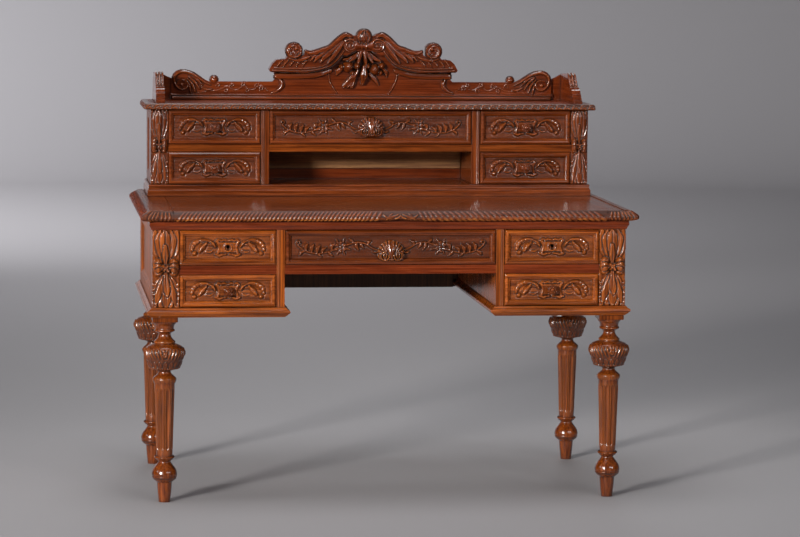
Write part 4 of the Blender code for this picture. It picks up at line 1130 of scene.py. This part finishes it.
def pediment_carving(relief):
    """Leaves and scrolls of the broken pediment; one half, mirrored."""
    relief.mirrored = True
    blade, stroke, boss = relief.blade, relief.stroke, relief.boss
    stroke([(57, 142), (68, 126), (82, 110), (98, 98.5), (120, 91), (150, 85), (190, 83),
           (262, 85)], 2.8, 4.5, 0, 0.8)
    stroke([(64, 150), (78, 128), (93, 111), (108, 102), (130, 95), (160, 91), (200, 90),
           (256, 92)], 2.4, 3.4, 0, 0.8)
    for u in (168, 186, 204, 222, 238):
        stroke([(u - 5, 113), (u + 2, 106), (u + 8, 97)], [3.4, 5.2, 3], 5, 0, 1)
    blade([(124, 140), (140, 127), (152, 113)], [3, 5, 2.4], 6.5)
    blade([(98, 148), (116, 133), (134, 120), (142, 109)], [3, 5.2, 5.6, 2.4], 7.5)
    blade([(62, 172), (78, 153), (98, 134), (116, 119), (124, 108)], [3, 6, 7, 6, 2.6], 8.0)
    blade([(38, 181), (52, 186), (67, 177), (80, 165), (96, 151), (118, 143), (140, 135),
           (156, 134), (166, 139)], [4, 6, 6.5, 6.2, 6, 6, 5.5, 4, 2.4],
          [9, 10, 10, 9, 8, 7.5, 7, 6, 5])
    blade([(54, 172), (62, 160), (76, 140), (90, 122), (102, 106)], [2.6, 4.6, 6.2, 6.0, 2.6], 9.5)
    blade([(156, 124), (172, 117), (190, 114), (214, 119)], [3, 5.2, 5.2, 3], 7.0)
    boss(INNER, 20.5, 6.6, flat=0.92)
    stroke(spiral(INNER, 18, 4.5, 40, 660, 30), [4, 3.6, 3, 2.4], [10.5, 10, 9], 0, 1.2)
    boss(INNER, 4.2, 11.5)
    boss(OUTER, 22.4, 6.6, flat=0.92)
    stroke(spiral(OUTER, 19.5, 10.5, 205, 600, 24), [4.8, 4.6, 3.4], [11, 10.5, 9], 0, 1.2)
    boss((195, 146), 7.5, 13.0, trench=1.2)
    blade([(206, 148), (212, 138), (206, 128)], [2.2, 4.6, 2.2], 9.0)
    stroke([(0, 155), (12, 155.5), (22, 157)], [8.5, 9, 13], [10, 11, 13], 0, 0, 0.1)
    stroke([(6, 147), (7, 155), (6, 163)], 1.7, 12.4)
    boss(BALL, 20.8, 10.5, flat=0.30)
    stroke([(2, 200), (11, 190), (15, 178), (11, 165)], [1.6, 3.4, 3.4, 1.6], 12, 0, 0.8)
    stroke([(9, 198), (17, 187), (18, 174)], [1, 2.2, 1.2], 9.5)
    relief.mirrored = False
    stroke([(0, 200), (-1, 183), (0, 165)], [2.4, 4.2, 2], 13, 0, 0.8)


def board_carving(relief):
    """Bed moulding, medallion rim, brackets, foliage and humps along the crest board."""
    blade, stroke, boss = relief.blade, relief.stroke, relief.boss
    relief.slab((-546, 0), (546, 11), 5.0, bevel=2.5)
    stroke([(-546, 14), (546, 14)], 2.4, 3)
    relief.mirrored = True
    stroke([(95, 84), (120, 76), (147, 70.5), (200, 68), (246, 68)], [7, 8, 8, 8, 8],
           [8, 12, 12, 12, 12], 0, 0, 0.7)
    stroke([(98, 74), (96, 58), (89, 41), (79, 25), (75, 19)], 2.8, 4, 0, 0.8)
    stroke([(240, 62), (232, 50), (233, 38), (244, 27), (262, 19)], [3, 7.5, 8.5, 6.5, 2],
           [6, 9.5, 9.5, 7, 4], 0, 1.2, 0.1)
    # Foliage in low relief between bracket and hump
    stroke([(270, 26), (292, 40), (316, 28), (340, 38), (364, 27), (388, 38), (410, 28), (440, 24),
           (470, 20)], 2, 2.4, 0, 0.6)
    for i, (u, v) in enumerate(((290, 31), (304, 42), (330, 26), (344, 44), (374, 40), (392, 27),
                                (414, 40))):
        turn = 180 * (i % 2)
        stroke(spiral((u, v), 6.5, 2.4, turn - 40, turn + 260, 9), [1.6, 2.8, 2.2], 3, 0, 0.6)
    stroke([(432, 30), (446, 29), (462, 37)], [2.4, 5, 2.4], 7, 0, 0.8)
    for bottom, width in (((458, 42), 4.0), ((466, 30), 4.6), ((478, 22), 4.6), ((491, 19), 4.0)):
        top = (500 + (bottom[0] - 478) * 0.25, 68 - (bottom[0] - 458) * 0.45)
        middle = ((top[0] + bottom[0]) / 2 - 2, (top[1] + bottom[1]) / 2 + 3)
        blade([top, middle, bottom], [2.2, width, 2.0], 7.5)
    stroke([(436, 42), (452, 50), (468, 61), (484, 71), (500, 77), (516, 79), (530, 74), (538, 63),
           (537, 48), (528, 35), (516, 29), (504, 33), (500, 44), (506, 55), (517, 57)],
           [3, 4.4, 5, 5, 4.8, 4.4, 3.8, 3.2, 2.6], [7, 9, 10, 10, 10, 10, 9, 9], 0.2, 1.2)
    boss(HUMP, 8.0, 12.5, trench=1.2)
    boss(FINIAL, 10.4, 7.0, flat=0.1)
    relief.mirrored = False


def fruit_cluster(relief):
    """Fruit and leaves that hang below the scrolls."""
    blade, boss = relief.blade, relief.boss
    for tip, top in (((-56, 116), 15), ((-38, 112), 19), ((-15, 106), 23), ((7, 102), 24),
                     ((26, 108), 21), ((48, 112), 16)):
        waist = (tip[0] * 0.6, 134 - 0.25 * abs(tip[0]))
        blade([(tip[0] * 0.10, 146), waist, tip], [4, 7.5, 4], top)
    for i in range(14):
        angle, reach = 2.4 * i, 2.9 * math.sqrt(i)
        boss((31 + reach * math.cos(angle), 86 + reach * math.sin(angle)), 2.6,
             27.5 - 0.16 * i * i * 0.3, trench=0.8)
    for lean in (14, 5, -4):
        blade([(-16, 84), (-30 + 0.3 * lean, 66), (-46 + lean, 46 - 0.4 * abs(lean)),
               (-50 + 1.3 * lean, 36)], [4, 6.5, 6.5, 3], [17, 17, 13, 9])
    blade([(16, 76), (32, 62), (44, 44)], [4, 7.0, 3], [15, 12, 7])
    blade([(-58, 92), (-70, 84), (-76, 72)], [4, 8.0, 3], [14, 12, 7])
    blade([(56, 90), (66, 80), (68, 66)], [4, 6.0, 2], [12, 9, 6])
    blade([(3, 96), (2, 72), (-2, 47)], [6, 11, 4.5], [25, 27, 16], trench=2.4)
    for centre, radius, top in (((-62, 94), 9.5, 18), ((-42, 96), 18, 28), ((-18, 97), 12, 27),
                                ((33, 87), 18, 27), ((53, 98), 11.5, 22), ((13, 96), 10, 26),
                                ((-31, 78), 8.5, 21), ((50, 78), 8, 19)):
        boss(centre, radius, top, flat=0.1, trench=1.0)


class DESK_OT_crest(bpy.types.Operator):
    """Carves the crest: pediment, fruit, board and humps"""
    bl_idname = "desk.crest"
    bl_label = "Crest"

    def execute(self, context):
        step = context.scene.desk_carving.step / MM
        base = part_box("hutch_cornice")[1].z
        board_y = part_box("gallery_back")[1].y - CREST_BOARD * MM
        # Each panel's size, its origin, which is the middle of the cornice's top, and its distance
        # in front of the board, in millimetres
        for seed, (name, carve, size, origin, ahead) in enumerate((
                ("pediment_carving", pediment_carving, (544, 130), (272, -76), PEDIMENT),
                ("crest_board_carving", board_carving, (1116, 92), (558, 0), 0),
                ("fruit_cluster", fruit_cluster, (176, 122), (90, -26), 0)), 31):
            relief = Relief(*size, step, ground=-0.8, origin=origin, seed=seed)
            carve(relief)
            relief.finish()
            carving(name, relief, facing_front(-origin[0] * MM, board_y - ahead * MM,
                                               base - origin[1] * MM), "crest", X)
        return {'FINISHED'}


# The slope of a gallery end, as (out, up) in millimetres from its front lower edge
end_slope = [(-45, 43.4), (-65.8, 46.0), (-76.2, 57.6), (-88.9, 70.0), (-99.2, 77.4), (-113, 82.3)]


class DESK_OT_gallery_ends(bpy.types.Operator):
    """Carves the sloping fronts of the gallery's ends"""
    bl_idname = "desk.gallery_ends"
    bl_label = "Gallery ends"

    def execute(self, context):
        step = context.scene.desk_carving.step / MM
        for side, sign in SIDES:
            low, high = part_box("gallery_end_" + side)
            width = (high.x - low.x) / MM - 3.5
            left = low.x + (0.0030 if sign < 0 else 0.0005)
            place, run = along_profile(end_slope, lambda u, out, up: (
                left + u * MM, low.y - out * MM, low.z + up * MM))
            relief = Relief(width, run, step * 0.8, ground=0.2, origin=(width / 2, 0),
                            mirrored=True, seed=41)
            relief.stroke([(9, run - 3), (9.5, run * 0.55), (8, 5)], [2, 3, 2], 2.6, 0, 0.6)
            for v in (14, 28, 42):
                relief.stroke([(1, v + 8), (4.5, v + 3), (7, v - 6)], [1.6, 2.8, 1.2], 3, 0.3, 0.6)
            relief.mirrored = False
            relief.blade([(0, run - 4), (0, run * 0.5), (0, 4)], [2, 3.4, 2], 4.2)
            relief.finish()
            carving("gallery_end_%s_leaves" % side, relief, place, "dark", Y)
        return {'FINISHED'}


# Studio
# Lamps: place, aim, size, power, spread in degrees and colour. Each has a narrow spread, so that
# little of its light falls on the floor near it
LAMPS = (
    ("key_softbox", (-5.9, -7.4, 2.9), (-0.1, 0, 0.75), 1.5, 67, 46, (1.0, 0.98, 0.95)),
    ("right_softbox", (4.8, -5.6, 2.6), (0.62, 0, 0.7), 1.0, 2.6, 34, (0.93, 0.96, 1.0)),
    ("left_softbox", (-4.8, -1.2, 2.0), (-0.6, 0, 0.7), 1.1, 3, 70, (0.95, 0.97, 1.0)),
    ("fill_softbox", (2.6, -6.4, 3.0), (0.2, 0, 0.6), 1.2, 7, 60, (1.0, 0.98, 0.96)),
    ("top_softbox", (-0.4, -0.4, 4.6), (0, 0, 0), 2.4, 50, 140, (0.97, 0.98, 1.0)),
    ("rear_softbox", (0.8, 5.5, 5.4), (0, 0.2, 0.8), 2.4, 8, 60, (0.96, 0.98, 1.0)),
    ("backdrop_lamp", (-3.6, 6.0, 4.5), (-2.4, 12.0, 0.3), 2.0, 290, 120, (0.96, 0.97, 1.0)),
    ("floor_lamp", (-1.0, 5.0, 5.0), (0.2, 6.5, 0), 2.0, 76, 120, (0.96, 0.97, 1.0)))
SKY, SKY_STRENGTH = (0.92, 0.94, 1.0), 0.06
FLOOR_RADIUS, COVE_RADIUS, WALL_TOP = 11.0, 1.5, 4.0
# The camera that the photo's straight edges gave; its focal length is in picture elements
CAMERA_AT, FOCAL, PICTURE_WIDTH, SENSOR = (-1.036, -8.831, 1.489), 3230.1, 800, 36.0
YAW, PITCH, ROLL = (math.radians(angle) for angle in (7.129, 5.772, 0.498))


def add_object(name, data):
    """An object in the scene, for the studio."""
    obj = bpy.data.objects.new(name, data)
    bpy.context.scene.collection.objects.link(obj)
    return obj


class DESK_OT_stage(bpy.types.Operator):
    """Sets the floor, the lamps and the camera"""
    bl_idname = "desk.stage"
    bl_label = "Studio"

    def execute(self, context):
        self.floor(context.scene)
        for name, place, aim, size, power, spread, colour in LAMPS:
            lamp = bpy.data.lights.new(name, 'AREA')
            lamp.shape, lamp.size, lamp.energy = 'SQUARE', size, power
            lamp.spread, lamp.color = math.radians(spread), colour
            obj = add_object(name, lamp)
            obj.location = place
            obj.rotation_euler = (Vector(aim) - Vector(place)).to_track_quat('-Z', 'Y').to_euler()
            obj.visible_camera = False
        self.camera(context.scene)
        context.scene.view_settings.view_transform = 'Standard'
        return {'FINISHED'}

    def floor(self, scene):
        """A round painted floor that runs up into a wall, under a faint sky."""
        cove = np.radians(np.linspace(6, 84, 14))
        out = np.hstack((0, FLOOR_RADIUS, FLOOR_RADIUS + COVE_RADIUS * np.sin(cove),
                         FLOOR_RADIUS + COVE_RADIUS))[:, None]
        up = np.hstack((0, 0, COVE_RADIUS - COVE_RADIUS * np.cos(cove), WALL_TOP))
        turn = np.linspace(0, math.tau, 97)[:-1]
        points = np.stack((out * np.cos(turn), out * np.sin(turn),
                           np.repeat(up[:, None], len(turn), 1)), -1)
        mesh = grid_mesh("studio_floor", points, round_u=True)
        # Matt paint, so that no lamp leaves a bright spot on the floor
        mat, tree, shader = new_material("painted_studio_floor")
        feed(shader, {"Base Color": rgba(scene.desk_finish.floor), "Roughness": 0.75})
        mesh.materials.append(mat)
        floor = add_object("studio_floor", mesh)
        scene.world = bpy.data.worlds.new("studio")
        scene.world.use_nodes = True
        feed(scene.world.node_tree.nodes["Background"], {0: rgba(SKY), 1: SKY_STRENGTH})

    def camera(self, scene):
        ahead = Vector((math.sin(YAW) * math.cos(PITCH), math.cos(YAW) * math.cos(PITCH),
                        -math.sin(PITCH)))
        right = Vector((math.cos(YAW), -math.sin(YAW), 0))
        up = right.cross(ahead)
        turned_right = math.cos(ROLL) * right + math.sin(ROLL) * up
        turned_up = math.cos(ROLL) * up - math.sin(ROLL) * right
        matrix = Matrix((turned_right, turned_up, -ahead)).transposed().to_4x4()
        matrix.translation = CAMERA_AT
        cam = bpy.data.cameras.new("camera")
        cam.sensor_width = SENSOR
        cam.lens = FOCAL / PICTURE_WIDTH * SENSOR
        scene.camera = add_object("camera", cam)
        scene.camera.matrix_world = matrix


class DESK_PT_panel(bpy.types.Panel):
    """Shows the desk's colours, carving sizes and steps in the sidebar"""
    bl_label = "Writing desk"
    bl_idname = "DESK_PT_panel"
    bl_space_type = 'VIEW_3D'
    bl_region_type = 'UI'
    bl_category = "Desk"

    def draw(self, context):
        for group in (context.scene.desk_finish, context.scene.desk_carving):
            for key in group.__annotations__:
                self.layout.prop(group, key)
        for operator in operators:
            self.layout.operator(operator.bl_idname)


operators = (DESK_OT_boards, DESK_OT_drawer_carving, DESK_OT_stiles, DESK_OT_back_boards,
             DESK_OT_pulls, DESK_OT_posts, DESK_OT_legs,
             DESK_OT_top_edges, DESK_OT_cornice_edges, DESK_OT_crest, DESK_OT_gallery_ends,
             DESK_OT_stage)
classes = (DeskFinish, DeskCarving, DESK_PT_panel) + operators


def register():
    for cls in classes:
        bpy.utils.register_class(cls)
    bpy.types.Scene.desk_finish = PointerProperty(type=DeskFinish)
    bpy.types.Scene.desk_carving = PointerProperty(type=DeskCarving)


def unregister():
    del bpy.types.Scene.desk_carving
    del bpy.types.Scene.desk_finish
    for cls in reversed(classes):
        bpy.utils.unregister_class(cls)


def main():
    register()
    for operator in operators:
        group, name = operator.bl_idname.split(".")
        getattr(getattr(bpy.ops, group), name)()


if __name__ == "__main__":
    main()
